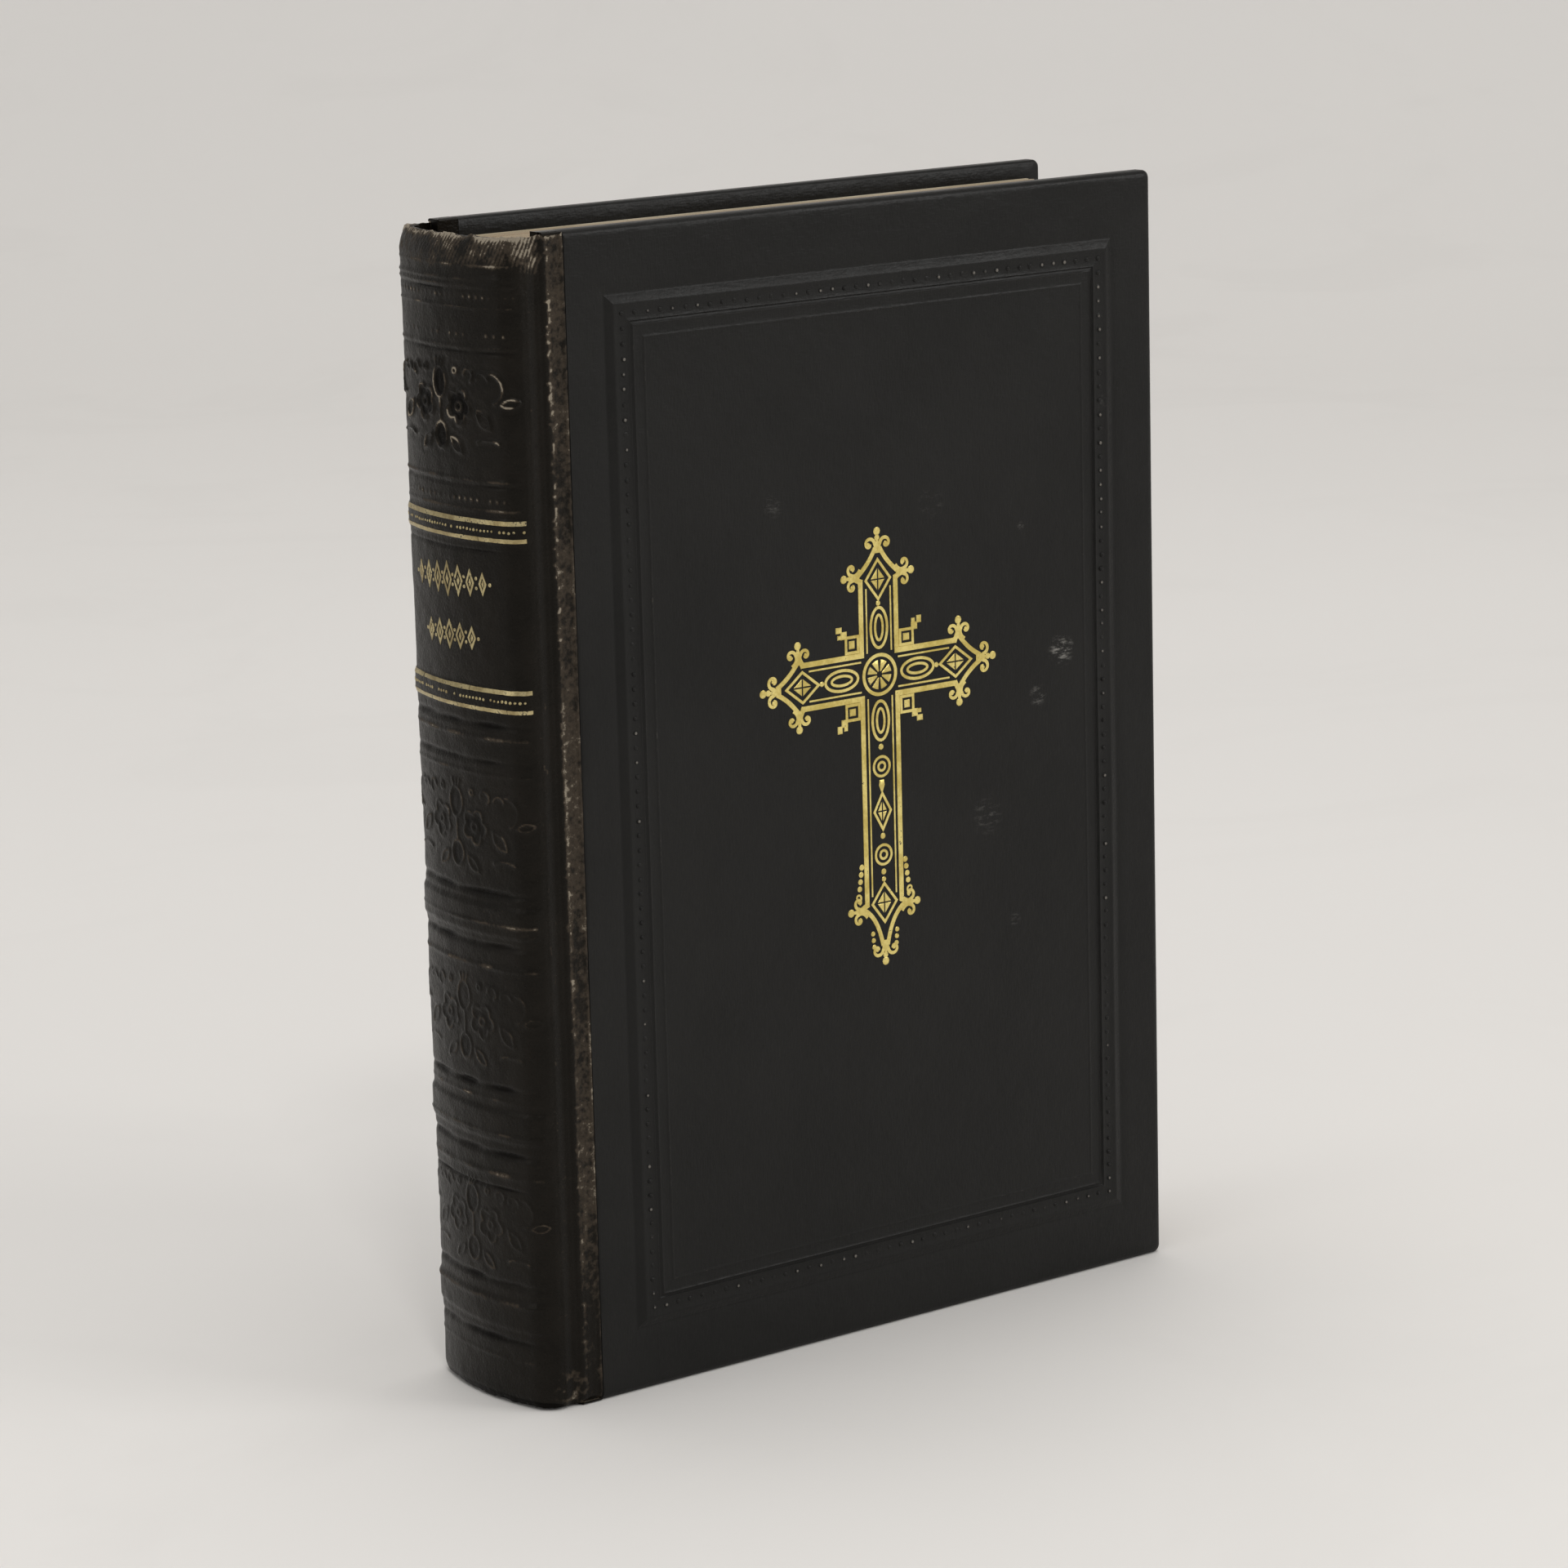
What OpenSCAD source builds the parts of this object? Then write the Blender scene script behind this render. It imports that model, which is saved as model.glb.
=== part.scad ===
// Small black prayer book, quarter bound: leather spine, cloth sides, gilt cross on the front.
// It stands on its tail. +Z runs up the spine, +X from spine to fore-edge, the front cover faces -Y.
// Millimetres. The origin is the bottom centre of the closed book's bounding box.

/* [Case] */
// Height of the boards, head to tail
height = 150; // [110:1:220]
// Width of each board, from the hinge line to the fore-edge
board_w = 97.5; // [70:0.5:150]
// Thickness of the closed book, cover face to cover face
thick = 25.6; // [16:0.2:50]
// Thickness of the grey-board core
board_t = 1.9; // [1.2:0.1:3.5]
// Thickness of the covering cloth on the outside of a board
cloth_t = 0.35; // [0.2:0.05:0.8]
// Thickness of the cloth turned in over the inside of a board
turnin_t = 0.25; // [0.15:0.05:0.6]
// Width of the turned-in cloth inside a board
turnin_w = 12; // [6:1:20]
// Radius of the board corners at the fore-edge
corner_r = 0.6; // [0.5:0.1:6]
// Width of the spine leather that laps on to each board
lap_w = 3; // [2:0.5:25]
// Projection of the boards beyond the leaves at head, tail and fore-edge
square = 2.4; // [1:0.1:5]

/* [Spine] */
// Depth of the rounded spine behind the hinge lines
spine_d = 7.4; // [6:0.1:14]
// Radius of the middle of the spine's round
spine_R = 34; // [15:0.5:60]
// Radius of the spine's shoulders
spine_r = 3.8; // [3.5:0.1:8]
// Thickness of the spine leather
leather_t = 0.7; // [0.4:0.1:1.2]
// Thickness of the card inlay behind the leather
inlay_t = 0.5; // [0.3:0.1:1]
// Height of the raised bands above the leather
band_h = 0.4; // [0.2:0.1:1.5]
// Thickness of the gilding
gilt_t = 0.08; // [0.04:0.02:0.2]
// Space between the card inlay and the lined back of the leaves
hollow = 0.9; // [0.4:0.1:2]

/* [Leaves] */
// Number of sewn gatherings in each half of the book
half_n = 6; // [3:1:8]
// Gap between neighbouring gatherings
leaf_gap = 0.08; // [0.05:0.01:0.2]
// Thickness of a flyleaf
fly_t = 0.25; // [0.1:0.05:0.5]
// Thickness of a pastedown over the turn-ins
paste_t = 0.2; // [0.1:0.05:0.4]
// Gap between cover, flyleaf and the first gathering
end_gap = 0.1; // [0.05:0.05:0.3]
// Outward rounding of the leaves' sewn back
back_round = 2.4; // [1:0.1:8]
// Opening angle of a cover
cover_open = 170; // [90:5:170]
// Angle of the outermost gathering when its cover is fully open
fan_open = 80; // [40:5:85]

/* [Decoration] */
// Distance of the blind-tooled frame from the spine-side edge of the cloth
frame_in = 5.8; // [4:0.2:15]
// Distance of the blind-tooled frame from the fore-edge
frame_out = 7.1; // [4:0.2:15]
// Distance of the blind-tooled frame from the head and the tail
frame_end = 8.6; // [5:0.2:20]
// Width of the blind-tooled frame
frame_w = 5.7; // [3:0.1:10]
// Depth of the blind tooling
tool_d = 0.15; // [0.05:0.05:0.25]
// Distance of the cross's centre from the fore-edge
cross_x = 47.5; // [30:0.5:70]
// Height of the cross's centre above the tail
cross_z = 88.4; // [60:0.2:120]
// Length of the side arms and of the upper arm, from the centre
arm = 19.4; // [12:0.2:30]
// Length of the lower arm, from the centre
stem = 39.4; // [20:0.2:60]
// Width of the cross's bars
bar_w = 6.6; // [3:0.2:12]

/* [Hidden] */
$fn = 72;
eps = 0.02;
half = thick / 2;
// the spine's base lies left of the origin so that bands and fore-edge are level about x = 0
total_w = gilt_t + band_h + spine_d + board_w;
fore_x = total_w / 2;
hinge_x = fore_x - board_w;
back_x = hinge_x - spine_d;
// outer round of the spine: a middle arc and two shoulder arcs that meet tangentially
round_cx = back_x + spine_R;
shoulder_y = half - spine_r;
shoulder_x = round_cx - sqrt(pow(spine_R - spine_r, 2) - pow(shoulder_y, 2));
shell_t = leather_t + inlay_t;
// levels through the front cover, measured along y
y_core = -half + cloth_t;
y_turn = y_core + board_t;
y_paste = y_turn + turnin_t;
y_inner = y_paste + paste_t;
y_fly = y_inner + end_gap;
y_block = y_fly + fly_t + end_gap;
block_half = -y_block;
pitch = 2 * block_half / (2 * half_n);
gath_t = pitch - leaf_gap;
// back of the leaves: one arc through all the folds
lining_t = 0.45;
fold_x = back_x + shell_t + hollow + lining_t;
back_R = (pow(block_half, 2) + pow(back_round, 2)) / (2 * back_round);
back_cx = fold_x + back_R;
leaf_z0 = square;
leaf_z1 = height - square;
// where the outermost fold starts, and the leaf width that leaves a square at the fore-edge
outer_fold = back_cx - sqrt(pow(back_R, 2) - pow(block_half - pitch / 2, 2));
leaf_w = fore_x - square - outer_fold;
// angle of gathering k of a half (1 next to the cover) with its cover fully open
function fan(k) = fan_open * (half_n + 1 - k) / half_n;
// smallest set-back of a pivot behind its inner neighbour that keeps two opened gatherings apart
function setback(k) = max(0.1, (gath_t + 0.03 - pitch * cos(fan(k + 1))) / sin(fan(k + 1)));
// the flyleaf bends this far in front of the hinge line, clear of the board's edge
fly_pivot = hinge_x + 2.25;
fly_mid = y_fly + fly_t / 2;
first_mid = y_block + pitch / 2;
fly_lift = first_mid - fly_mid;
fly_near = (gath_t + fly_t) / 2 + 0.03;
fly_setback = max(0.1, (fly_near - fly_lift * cos(fan_open)) / sin(fan_open));
// pivot of gathering k of a half, counted from the cover
function pivot_x(k) = k == 1 ? fly_pivot + fly_setback : pivot_x(k - 1) + setback(k - 1);
function mid_y(k) = y_block + (k - 0.5) * pitch;
function fold_at(k) = back_cx - sqrt(pow(back_R, 2) - pow(mid_y(k), 2));

leather_black = [0.10, 0.085, 0.075];
cloth_black = [0.12, 0.12, 0.12];
gilt = [0.78, 0.66, 0.33];
paper = [0.83, 0.76, 0.62];
card = [0.50, 0.45, 0.38];
linen = [0.80, 0.77, 0.68];

// raised bands: height of each band's middle above the tail, and its width
band_z = [12.2, 37.1, 63.8, 92.2, 113.5, 143.7];
band_w = [4.6, 4.6, 4.6, 3.4, 3.4, 2.8];
// gilt lines, above the tail
gilt_z = [90.9, 93.4, 112.4, 114.6];
gilt_w = 0.7;

// ---- shared shapes ----

// upright slab from x0 to x1, y0 to y1, z0 to z1
module slab(x0, x1, y0, y1, z0, z1) {
    translate([x0, y0, z0])
        cube([x1 - x0, y1 - y0, z1 - z0]);
}

// a shape drawn in the cover's plane (x across, z up), made solid between y0 and y1
module on_cover(y0, y1) {
    translate([0, y1, 0])
        rotate([90, 0, 0])
            linear_extrude(height = y1 - y0)
                children();
}

// rectangle whose fore-edge corners are rounded
module board_outline(x0, x1, z0, z1, r) {
    difference() {
        translate([x0, z0])
            square([x1 - x0, z1 - z0]);
        for (s = [0, 1])
            translate([x1 - r, s == 0 ? z0 + r : z1 - r])
                difference() {
                    translate([0, s == 0 ? -r - 1 : 0])
                        square([r + 1, r + 1]);
                    circle(r = r);
                }
    }
}

// outline of the rounded spine, drawn inward by d, up to the plane x1
module spine_outline(d, x1) {
    for (s = [-1, 1])
        translate([shoulder_x, s * shoulder_y])
            circle(r = spine_r - d);
    intersection() {
        translate([round_cx, 0])
            circle(r = spine_R - d);
        polygon([[round_cx, 0],
            [round_cx + 3 * (shoulder_x - round_cx), 3 * shoulder_y],
            [round_cx + 3 * (shoulder_x - round_cx), -3 * shoulder_y]]);
    }
    translate([shoulder_x, -half + d])
        square([x1 - shoulder_x, thick - 2 * d]);
}

// curved wall of the spine between two inward distances, as a flat shape
module spine_wall(d0, d1, x1) {
    intersection() {
        difference() {
            spine_outline(d0, x1 + 8);
            spine_outline(d1, x1 + 9);
        }
        translate([back_x - 5, -half - 5])
            square([x1 - back_x + 5, thick + 10]);
    }
}

// lozenge with half diagonals a and b
module lozenge(a, b) {
    polygon([[-a, 0], [0, -b], [a, 0], [0, b]]);
}

// round bud with two side lobes, pointing along +y from the origin
module bud(r) {
    translate([0, 2.6 * r])
        circle(r = 0.62 * r);
    for (d = [-1, 1])
        translate([d * 1.05 * r, 1.25 * r])
            circle(r = r);
    translate([-0.8 * r, -0.4 * r])
        square([1.6 * r, 2.8 * r]);
}

// bar and pointed end of an arm along +y that reaches out to y = l
module bar_end(l) {
    w = bar_w / 2;
    neck = l - 6.4;
    translate([-w, 0])
        square([bar_w, neck - 0.6]);
    // the end narrows in two hollow curves from its shoulders to the tip
    difference() {
        polygon([[-w - 1, neck - 0.8], [w + 1, neck - 0.8], [w + 1, neck + 0.4],
            [0.5, l - 2], [-0.5, l - 2], [-w - 1, neck + 0.4]]);
        for (d = [-1, 1])
            translate([d * (w + 2.1), l - 1.9])
                circle(r = 4.3);
    }
    translate([0, l - 3])
        bud(0.8);
    for (d = [-1, 1])
        translate([d * w, neck])
            rotate(-d * 90)
                bud(0.8);
}

// outline of the whole cross about its centre
module cross_outline() {
    for (q = [[0, arm], [90, arm], [-90, arm], [180, stem]])
        rotate(q[0])
            bar_end(q[1]);
    // a small square with a finial in each corner of the crossing
    for (dx = [-1, 1], dz = [-1, 1]) {
        translate([dx * (bar_w / 2 + 1.4), dz * (bar_w / 2 + 1.4)])
            square([3, 3], center = true);
        translate([dx * (bar_w / 2 + 3), dz * (bar_w / 2 + 3)])
            circle(r = 0.6);
    }
    circle(r = bar_w * 0.5);
}

// blind-tooled frame: a bevel band and two fine lines, as a flat shape
module frame_lines(x0, x1, z0, z1) {
    // each pair is a distance in from the frame's outer edge and a line width
    for (q = [[0, 1.5], [frame_w - 2, 0.35], [frame_w - 0.35, 0.35]])
        difference() {
            translate([x0 + q[0], z0 + q[0]])
                square([x1 - x0 - 2 * q[0], z1 - z0 - 2 * q[0]]);
            translate([x0 + q[0] + q[1], z0 + q[0] + q[1]])
                square([x1 - x0 - 2 * (q[0] + q[1]), z1 - z0 - 2 * (q[0] + q[1])]);
        }
}

// ---- cover pieces, drawn for the front; the back ones are their mirror images ----

module board_core() {
    on_cover(y_core, y_turn)
        board_outline(hinge_x, fore_x - cloth_t, cloth_t, height - cloth_t, corner_r);
}

module cover_cloth(with_cross) {
    x0 = hinge_x + lap_w;
    difference() {
        // the block of cloth round the board, less the board and the open middle inside
        on_cover(-half, y_paste)
            board_outline(x0, fore_x, 0, height, corner_r + cloth_t);
        on_cover(y_core, y_turn)
            board_outline(hinge_x - 1, fore_x - cloth_t, cloth_t, height - cloth_t, corner_r);
        slab(x0 - 1, fore_x - turnin_w, y_turn - 0.5, y_paste + 1, turnin_w, height - turnin_w);
        // blind tooling
        on_cover(-half - 1, -half + tool_d)
            frame_lines(x0 + frame_in, fore_x - frame_out, frame_end, height - frame_end);
        if (with_cross)
            on_cover(-half - 1, -half + 0.2)
                translate([fore_x - cross_x, cross_z])
                    cross_outline();
    }
}

module leather_lap() {
    // leather on the board's spine edge, turned in at head and tail
    x1 = hinge_x + lap_w - 0.02;
    difference() {
        slab(hinge_x, x1, -half, y_turn + turnin_t, 0, height);
        slab(hinge_x - 1, x1 + 1, y_core, y_turn, cloth_t, height - cloth_t);
        slab(hinge_x - 1, x1 + 1, y_turn - 0.5, y_turn + 1, turnin_w, height - turnin_w);
        // low step where the leather thins out to meet the cloth
        slab(x1 - 0.35, x1 + 1, -half - 1, -half + 0.1, -1, height + 1);
    }
}

module pastedown() {
    x0 = hinge_x + 0.6;
    union() {
        slab(x0, fore_x - square, y_paste, y_inner, square, height - square);
        slab(x0, fore_x - turnin_w - 0.2, y_turn, y_paste + 0.01,
            turnin_w + 0.2, height - turnin_w - 0.2);
    }
}

// ---- leaf pieces, drawn for the front half ----

module flyleaf() {
    x1 = outer_fold + leaf_w;
    slab(fly_pivot, x1, y_fly, y_fly + fly_t, leaf_z0, leaf_z1);
    translate([fly_pivot, fly_mid, leaf_z0])
        cylinder(r = fly_t / 2, h = leaf_z1 - leaf_z0);
}

// gathering k of a half: a slab with a rounded bend at its pivot
module gathering(k) {
    px = pivot_x(k);
    slab(px, fold_at(k) + leaf_w, mid_y(k) - gath_t / 2, mid_y(k) + gath_t / 2, leaf_z0, leaf_z1);
    translate([px, mid_y(k), leaf_z0])
        cylinder(r = gath_t / 2, h = leaf_z1 - leaf_z0);
}

// the sewn part of each gathering, from the fold to just behind its pivot
module half_folds() {
    intersection() {
        for (k = [1 : half_n])
            slab(back_cx - back_R - 1, pivot_x(k) - gath_t / 2 - 0.1,
                mid_y(k) - gath_t / 2, mid_y(k) + gath_t / 2, leaf_z0, leaf_z1);
        translate([back_cx, 0, leaf_z0])
            cylinder(r = back_R, h = leaf_z1 - leaf_z0, $fn = 144);
    }
}

// curved strip that follows the back of the leaves
module back_strip(r0, r1, y1, z0, z1) {
    intersection() {
        difference() {
            translate([back_cx, 0, z0])
                cylinder(r = r1, h = z1 - z0, $fn = 144);
            translate([back_cx, 0, z0 - 1])
                cylinder(r = r0, h = z1 - z0 + 2, $fn = 144);
        }
        slab(back_cx - back_R - 3, back_cx - 2, -y1, y1, z0, z1);
    }
}

// ---- the pieces ----

module front_board() {
    color(card)
        board_core();
}

module back_board() {
    color(card)
        mirror([0, 1, 0])
            board_core();
}

module front_cover_cloth() {
    color(cloth_black)
        cover_cloth(true);
}

module back_cover_cloth() {
    color(cloth_black)
        mirror([0, 1, 0])
            cover_cloth(false);
}

module front_leather_lap() {
    color(leather_black)
        leather_lap();
}

module back_leather_lap() {
    color(leather_black)
        mirror([0, 1, 0])
            leather_lap();
}

module front_pastedown() {
    color(paper)
        pastedown();
}

module back_pastedown() {
    color(paper)
        mirror([0, 1, 0])
            pastedown();
}

module gilt_cross() {
    // the foil lies in its stamped recess, flush with the cloth
    color(gilt)
        on_cover(-half, -half + 0.18)
            translate([fore_x - cross_x, cross_z])
                cross_outline();
}

module spine_leather() {
    z0 = 0.4;
    z1 = height - 0.4;
    color(leather_black)
        difference() {
            union() {
                translate([0, 0, z0])
                    linear_extrude(height = z1 - z0)
                        spine_wall(0, leather_t, hinge_x - 0.05);
                // leather moulded over the raised bands
                for (i = [0 : len(band_z) - 1])
                    translate([0, 0, band_z[i] - band_w[i] / 2])
                        linear_extrude(height = band_w[i])
                            spine_wall(-band_h, leather_t, hinge_x - 3.6);
                // head and tail caps, where the leather is turned in over the inlay
                for (z = [z0, z1 - 1.2])
                    translate([0, 0, z])
                        linear_extrude(height = 1.2)
                            spine_wall(0, shell_t, hinge_x - 1);
            }
            // hollows on the inside for the band strips
            for (i = [0 : len(band_z) - 1])
                translate([0, 0, band_z[i] - band_w[i] / 2 + 0.5])
                    linear_extrude(height = band_w[i] - 1)
                        spine_wall(leather_t - band_h - eps, leather_t + 0.1, hinge_x - 4.0);
        }
}

module spine_bands() {
    // strips glued on the inlay under the leather
    color(card)
        for (i = [0 : len(band_z) - 1])
            translate([0, 0, band_z[i] - band_w[i] / 2 + 0.52])
                linear_extrude(height = band_w[i] - 1.04)
                    spine_wall(leather_t - band_h, leather_t - eps, hinge_x - 4.05);
}

module spine_inlay() {
    color(card)
        translate([0, 0, 1.62])
            linear_extrude(height = height - 3.24)
                spine_wall(leather_t, shell_t, hinge_x - 1);
}

module spine_gilding() {
    // two pairs of gilt lines and two small ornaments between them
    color(gilt) {
        for (z = gilt_z)
            translate([0, 0, z - gilt_w / 2])
                linear_extrude(height = gilt_w)
                    spine_wall(-band_h - gilt_t, -band_h, hinge_x - 4.3);
        for (z = [99.8, 106.7])
            intersection() {
                translate([0, 0, z - 4])
                    linear_extrude(height = 8)
                        spine_wall(-gilt_t, 0, hinge_x - 4.3);
                for (y = [-5, 0, 5])
                    translate([back_x - 3, y, z])
                        rotate([90, 0, 90])
                            linear_extrude(height = 6)
                                lozenge(y == 0 ? 2.6 : 1.7, y == 0 ? 2.2 : 1.4);
            }
    }
}

module spine_lining() {
    // open-weave cloth and paper glued over the tapes and the sewn back
    color(linen)
        back_strip(back_R + 0.25, back_R + 0.45, block_half + 0.1, 12, height - 12);
}

module sewing_tapes() {
    color(linen)
        for (z = [28, 68, 108])
            back_strip(back_R + 0.02, back_R + 0.23, block_half + 0.1, z, z + 12);
}

module sewn_folds() {
    color(paper) {
        half_folds();
        mirror([0, 1, 0])
            half_folds();
    }
}

module endpaper_folds() {
    // the narrow bound edge of each flyleaf, pasted to the first and last gathering
    color(paper)
        for (s = [-1, 1])
            slab(outer_fold, fly_pivot - fly_t / 2 - 0.1,
                s < 0 ? y_fly : -y_fly - fly_t, s < 0 ? y_fly + fly_t : -y_fly,
                leaf_z0, leaf_z1);
}

module headband_head() {
    color([0.78, 0.74, 0.62])
        back_strip(back_R - 1.0, back_R + 0.4, block_half - 0.3, leaf_z1, leaf_z1 + 1.3);
}

module headband_tail() {
    color([0.78, 0.74, 0.62])
        back_strip(back_R - 1.0, back_R + 0.4, block_half - 0.3, leaf_z0 - 1.3, leaf_z0);
}

module front_flyleaf() {
    color(paper)
        flyleaf();
}

module back_flyleaf() {
    color(paper)
        mirror([0, 1, 0])
            flyleaf();
}

// one of the gatherings, numbered from the front cover to the back cover
module numbered(n) {
    color(paper)
        if (n <= half_n)
            gathering(n);
        else
            mirror([0, 1, 0])
                gathering(2 * half_n + 1 - n);
}

module gathering_01() {
    numbered(1);
}

module gathering_02() {
    numbered(2);
}

module gathering_03() {
    numbered(3);
}

module gathering_04() {
    numbered(4);
}

module gathering_05() {
    numbered(5);
}

module gathering_06() {
    numbered(6);
}

module gathering_07() {
    numbered(7);
}

module gathering_08() {
    numbered(8);
}

module gathering_09() {
    numbered(9);
}

module gathering_10() {
    numbered(10);
}

module gathering_11() {
    numbered(11);
}

module gathering_12() {
    numbered(12);
}

front_board();
back_board();
front_cover_cloth();
back_cover_cloth();
front_leather_lap();
back_leather_lap();
front_pastedown();
back_pastedown();
gilt_cross();
spine_leather();
spine_bands();
spine_inlay();
spine_gilding();
spine_lining();
sewing_tapes();
sewn_folds();
endpaper_folds();
headband_head();
headband_tail();
front_flyleaf();
back_flyleaf();
gathering_01();
gathering_02();
gathering_03();
gathering_04();
gathering_05();
gathering_06();
gathering_07();
gathering_08();
gathering_09();
gathering_10();
gathering_11();
gathering_12();
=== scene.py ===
"""Looks of the small black prayer book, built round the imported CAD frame.

Lengths are millimetres until a mesh is made; the book stands on its tail with its
front cover towards -Y and its spine towards -X.
"""

import math

import bmesh
import bpy
import numpy as np
from mathutils import Matrix, Vector


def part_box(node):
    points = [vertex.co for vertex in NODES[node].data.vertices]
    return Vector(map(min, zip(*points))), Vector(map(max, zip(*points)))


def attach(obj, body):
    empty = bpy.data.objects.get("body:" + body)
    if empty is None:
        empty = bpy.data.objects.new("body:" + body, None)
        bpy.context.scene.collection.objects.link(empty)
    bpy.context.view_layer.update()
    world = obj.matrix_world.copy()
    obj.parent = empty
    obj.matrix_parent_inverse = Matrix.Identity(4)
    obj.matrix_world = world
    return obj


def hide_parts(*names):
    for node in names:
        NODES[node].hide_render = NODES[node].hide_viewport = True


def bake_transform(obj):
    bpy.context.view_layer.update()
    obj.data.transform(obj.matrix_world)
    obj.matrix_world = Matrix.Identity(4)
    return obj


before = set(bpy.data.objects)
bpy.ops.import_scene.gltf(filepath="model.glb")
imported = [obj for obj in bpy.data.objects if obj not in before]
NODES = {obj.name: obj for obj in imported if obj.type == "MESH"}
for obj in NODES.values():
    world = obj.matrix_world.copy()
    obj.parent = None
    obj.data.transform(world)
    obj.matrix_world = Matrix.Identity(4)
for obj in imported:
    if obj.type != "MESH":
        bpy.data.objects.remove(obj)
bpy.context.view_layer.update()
SCENE = bpy.context.scene

# ---------- sizes from the frame


def node_box(name):
    lo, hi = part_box(name)
    return np.array(lo) * 1000, np.array(hi) * 1000


CLOTH_LO, CLOTH_HI = node_box("front_cover_cloth")
LAP_LO = node_box("front_leather_lap")[0]
HALF = -CLOTH_LO[1]
HEIGHT = CLOTH_HI[2]
FORE_X = CLOTH_HI[0]
HINGE_X = LAP_LO[0]
SHEET_X = CLOTH_LO[0]
INNER = -CLOTH_HI[1]
# the spine's round: its radius, the radius at its shoulders, its depth behind the hinge lines
R_MID, R_SHOULDER, DEPTH = 34.0, 3.8, 7.4
ROUND_CX = HINGE_X - DEPTH + R_MID
SHOULDER_Y = HALF - R_SHOULDER
SHOULDER_X = ROUND_CX - math.sqrt((R_MID - R_SHOULDER) ** 2 - SHOULDER_Y**2)
TURN_MID = math.atan2(SHOULDER_Y, ROUND_CX - SHOULDER_X)
ARC_MID = R_MID * TURN_MID
ARC_END = ARC_MID + R_SHOULDER * (math.pi / 2 - TURN_MID)
# arc length from the spine's middle to each hinge line
REACH = ARC_END + HINGE_X - SHOULDER_X
# the stiff spine skin ends here, and the strip that bends begins
SKIN_END = REACH - 2.6
# lowest and highest row of the leather's outside
SKIN_TAIL, SKIN_HEAD = 0.4, 149.6
# thickness of the cloth on the board and of its turn-in
CLOTH_T, TURNED_T = 0.36, 0.24
# level of the leather's inside, below the plain round
SKIN_INSIDE = -0.72

# ---------- numbers and fields


def smooth(x, a, b):
    t = np.clip((x - a) / (b - a), 0, 1)
    return t * t * (3 - 2 * t)


def ridge(x, centre, width, soft):
    """1 on a flat strip, falling softly to 0 beside it."""
    lo, hi = centre - width / 2, centre + width / 2
    return smooth(x, lo - soft / 2, lo + soft / 2) * (1 - smooth(x, hi - soft / 2, hi + soft / 2))


def line(x, centre, width):
    return np.exp(-(((x - centre) / width) ** 2))


def ease(x, knots):
    """Smooth interpolation through (x, value) knots."""
    xs = np.array([k[0] for k in knots])
    ys = np.array([k[1] for k in knots])
    i = np.clip(np.searchsorted(xs, x) - 1, 0, len(xs) - 2)
    t = np.clip((x - xs[i]) / (xs[i + 1] - xs[i]), 0, 1)
    return ys[i] + (ys[i + 1] - ys[i]) * t * t * (3 - 2 * t)


def noise(u, v, size, seed):
    """Smooth random field between -0.5 and 0.5 with bumps about `size` wide."""
    table = np.random.default_rng(seed).random((256, 256))
    x, y = np.asarray(u) / size + 50, np.asarray(v) / size + 50
    xi, yi = np.floor(x).astype(int), np.floor(y).astype(int)
    fx, fy = x - xi, y - yi
    fx, fy = fx * fx * (3 - 2 * fx), fy * fy * (3 - 2 * fy)
    a, b = table[xi % 256, yi % 256], table[(xi + 1) % 256, yi % 256]
    c, d = table[xi % 256, (yi + 1) % 256], table[(xi + 1) % 256, (yi + 1) % 256]
    return (a + (b - a) * fx) * (1 - fy) + (c + (d - c) * fx) * fy - 0.5


def around(s, out):
    """Point of the closed spine's section at arc length s (front side negative), `out` outside it."""
    s, out = np.asarray(s, float), np.asarray(out, float)
    a, side = np.abs(s), np.where(s < 0, -1.0, 1.0)
    turn = np.where(a <= ARC_MID, a / R_MID, np.minimum(TURN_MID + (a - ARC_MID) / R_SHOULDER, math.pi / 2))
    x = np.where(
        a <= ARC_MID,
        ROUND_CX - R_MID * np.cos(turn),
        np.where(a <= ARC_END, SHOULDER_X - R_SHOULDER * np.cos(turn), SHOULDER_X + a - ARC_END),
    )
    y = np.where(
        a <= ARC_MID,
        R_MID * np.sin(turn),
        np.where(a <= ARC_END, SHOULDER_Y + R_SHOULDER * np.sin(turn), HALF),
    )
    return x - np.cos(turn) * out, (y + np.sin(turn) * out) * side


# ---------- meshes


def make(name, verts, faces, mats, attrs=None, face_mats=None, sharp=40):
    me = bpy.data.meshes.new(name)
    me.from_pydata((np.asarray(verts, float) * 0.001).tolist(), [], [list(map(int, f)) for f in faces])
    for m in mats if isinstance(mats, (list, tuple)) else [mats]:
        me.materials.append(m)
    if face_mats is not None:
        me.polygons.foreach_set("material_index", np.asarray(face_mats, dtype=np.int32))
    for key, values in (attrs or {}).items():
        layer = me.attributes.new(key, "FLOAT", "POINT")
        layer.data.foreach_set("value", np.asarray(values, dtype=np.float32))
    bm = bmesh.new()
    bm.from_mesh(me)
    bmesh.ops.recalc_face_normals(bm, faces=bm.faces)
    bm.to_mesh(me)
    bm.free()
    me.polygons.foreach_set("use_smooth", [True] * len(me.polygons))
    me.set_sharp_from_angle(angle=math.radians(sharp))
    me.update()
    ob = bpy.data.objects.new(name, me)
    SCENE.collection.objects.link(ob)
    return ob


def rectangle(u0, v0, u1, v1):
    return [(u0, v0), (u1, v0), (u1, v1), (u0, v1)]


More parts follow.
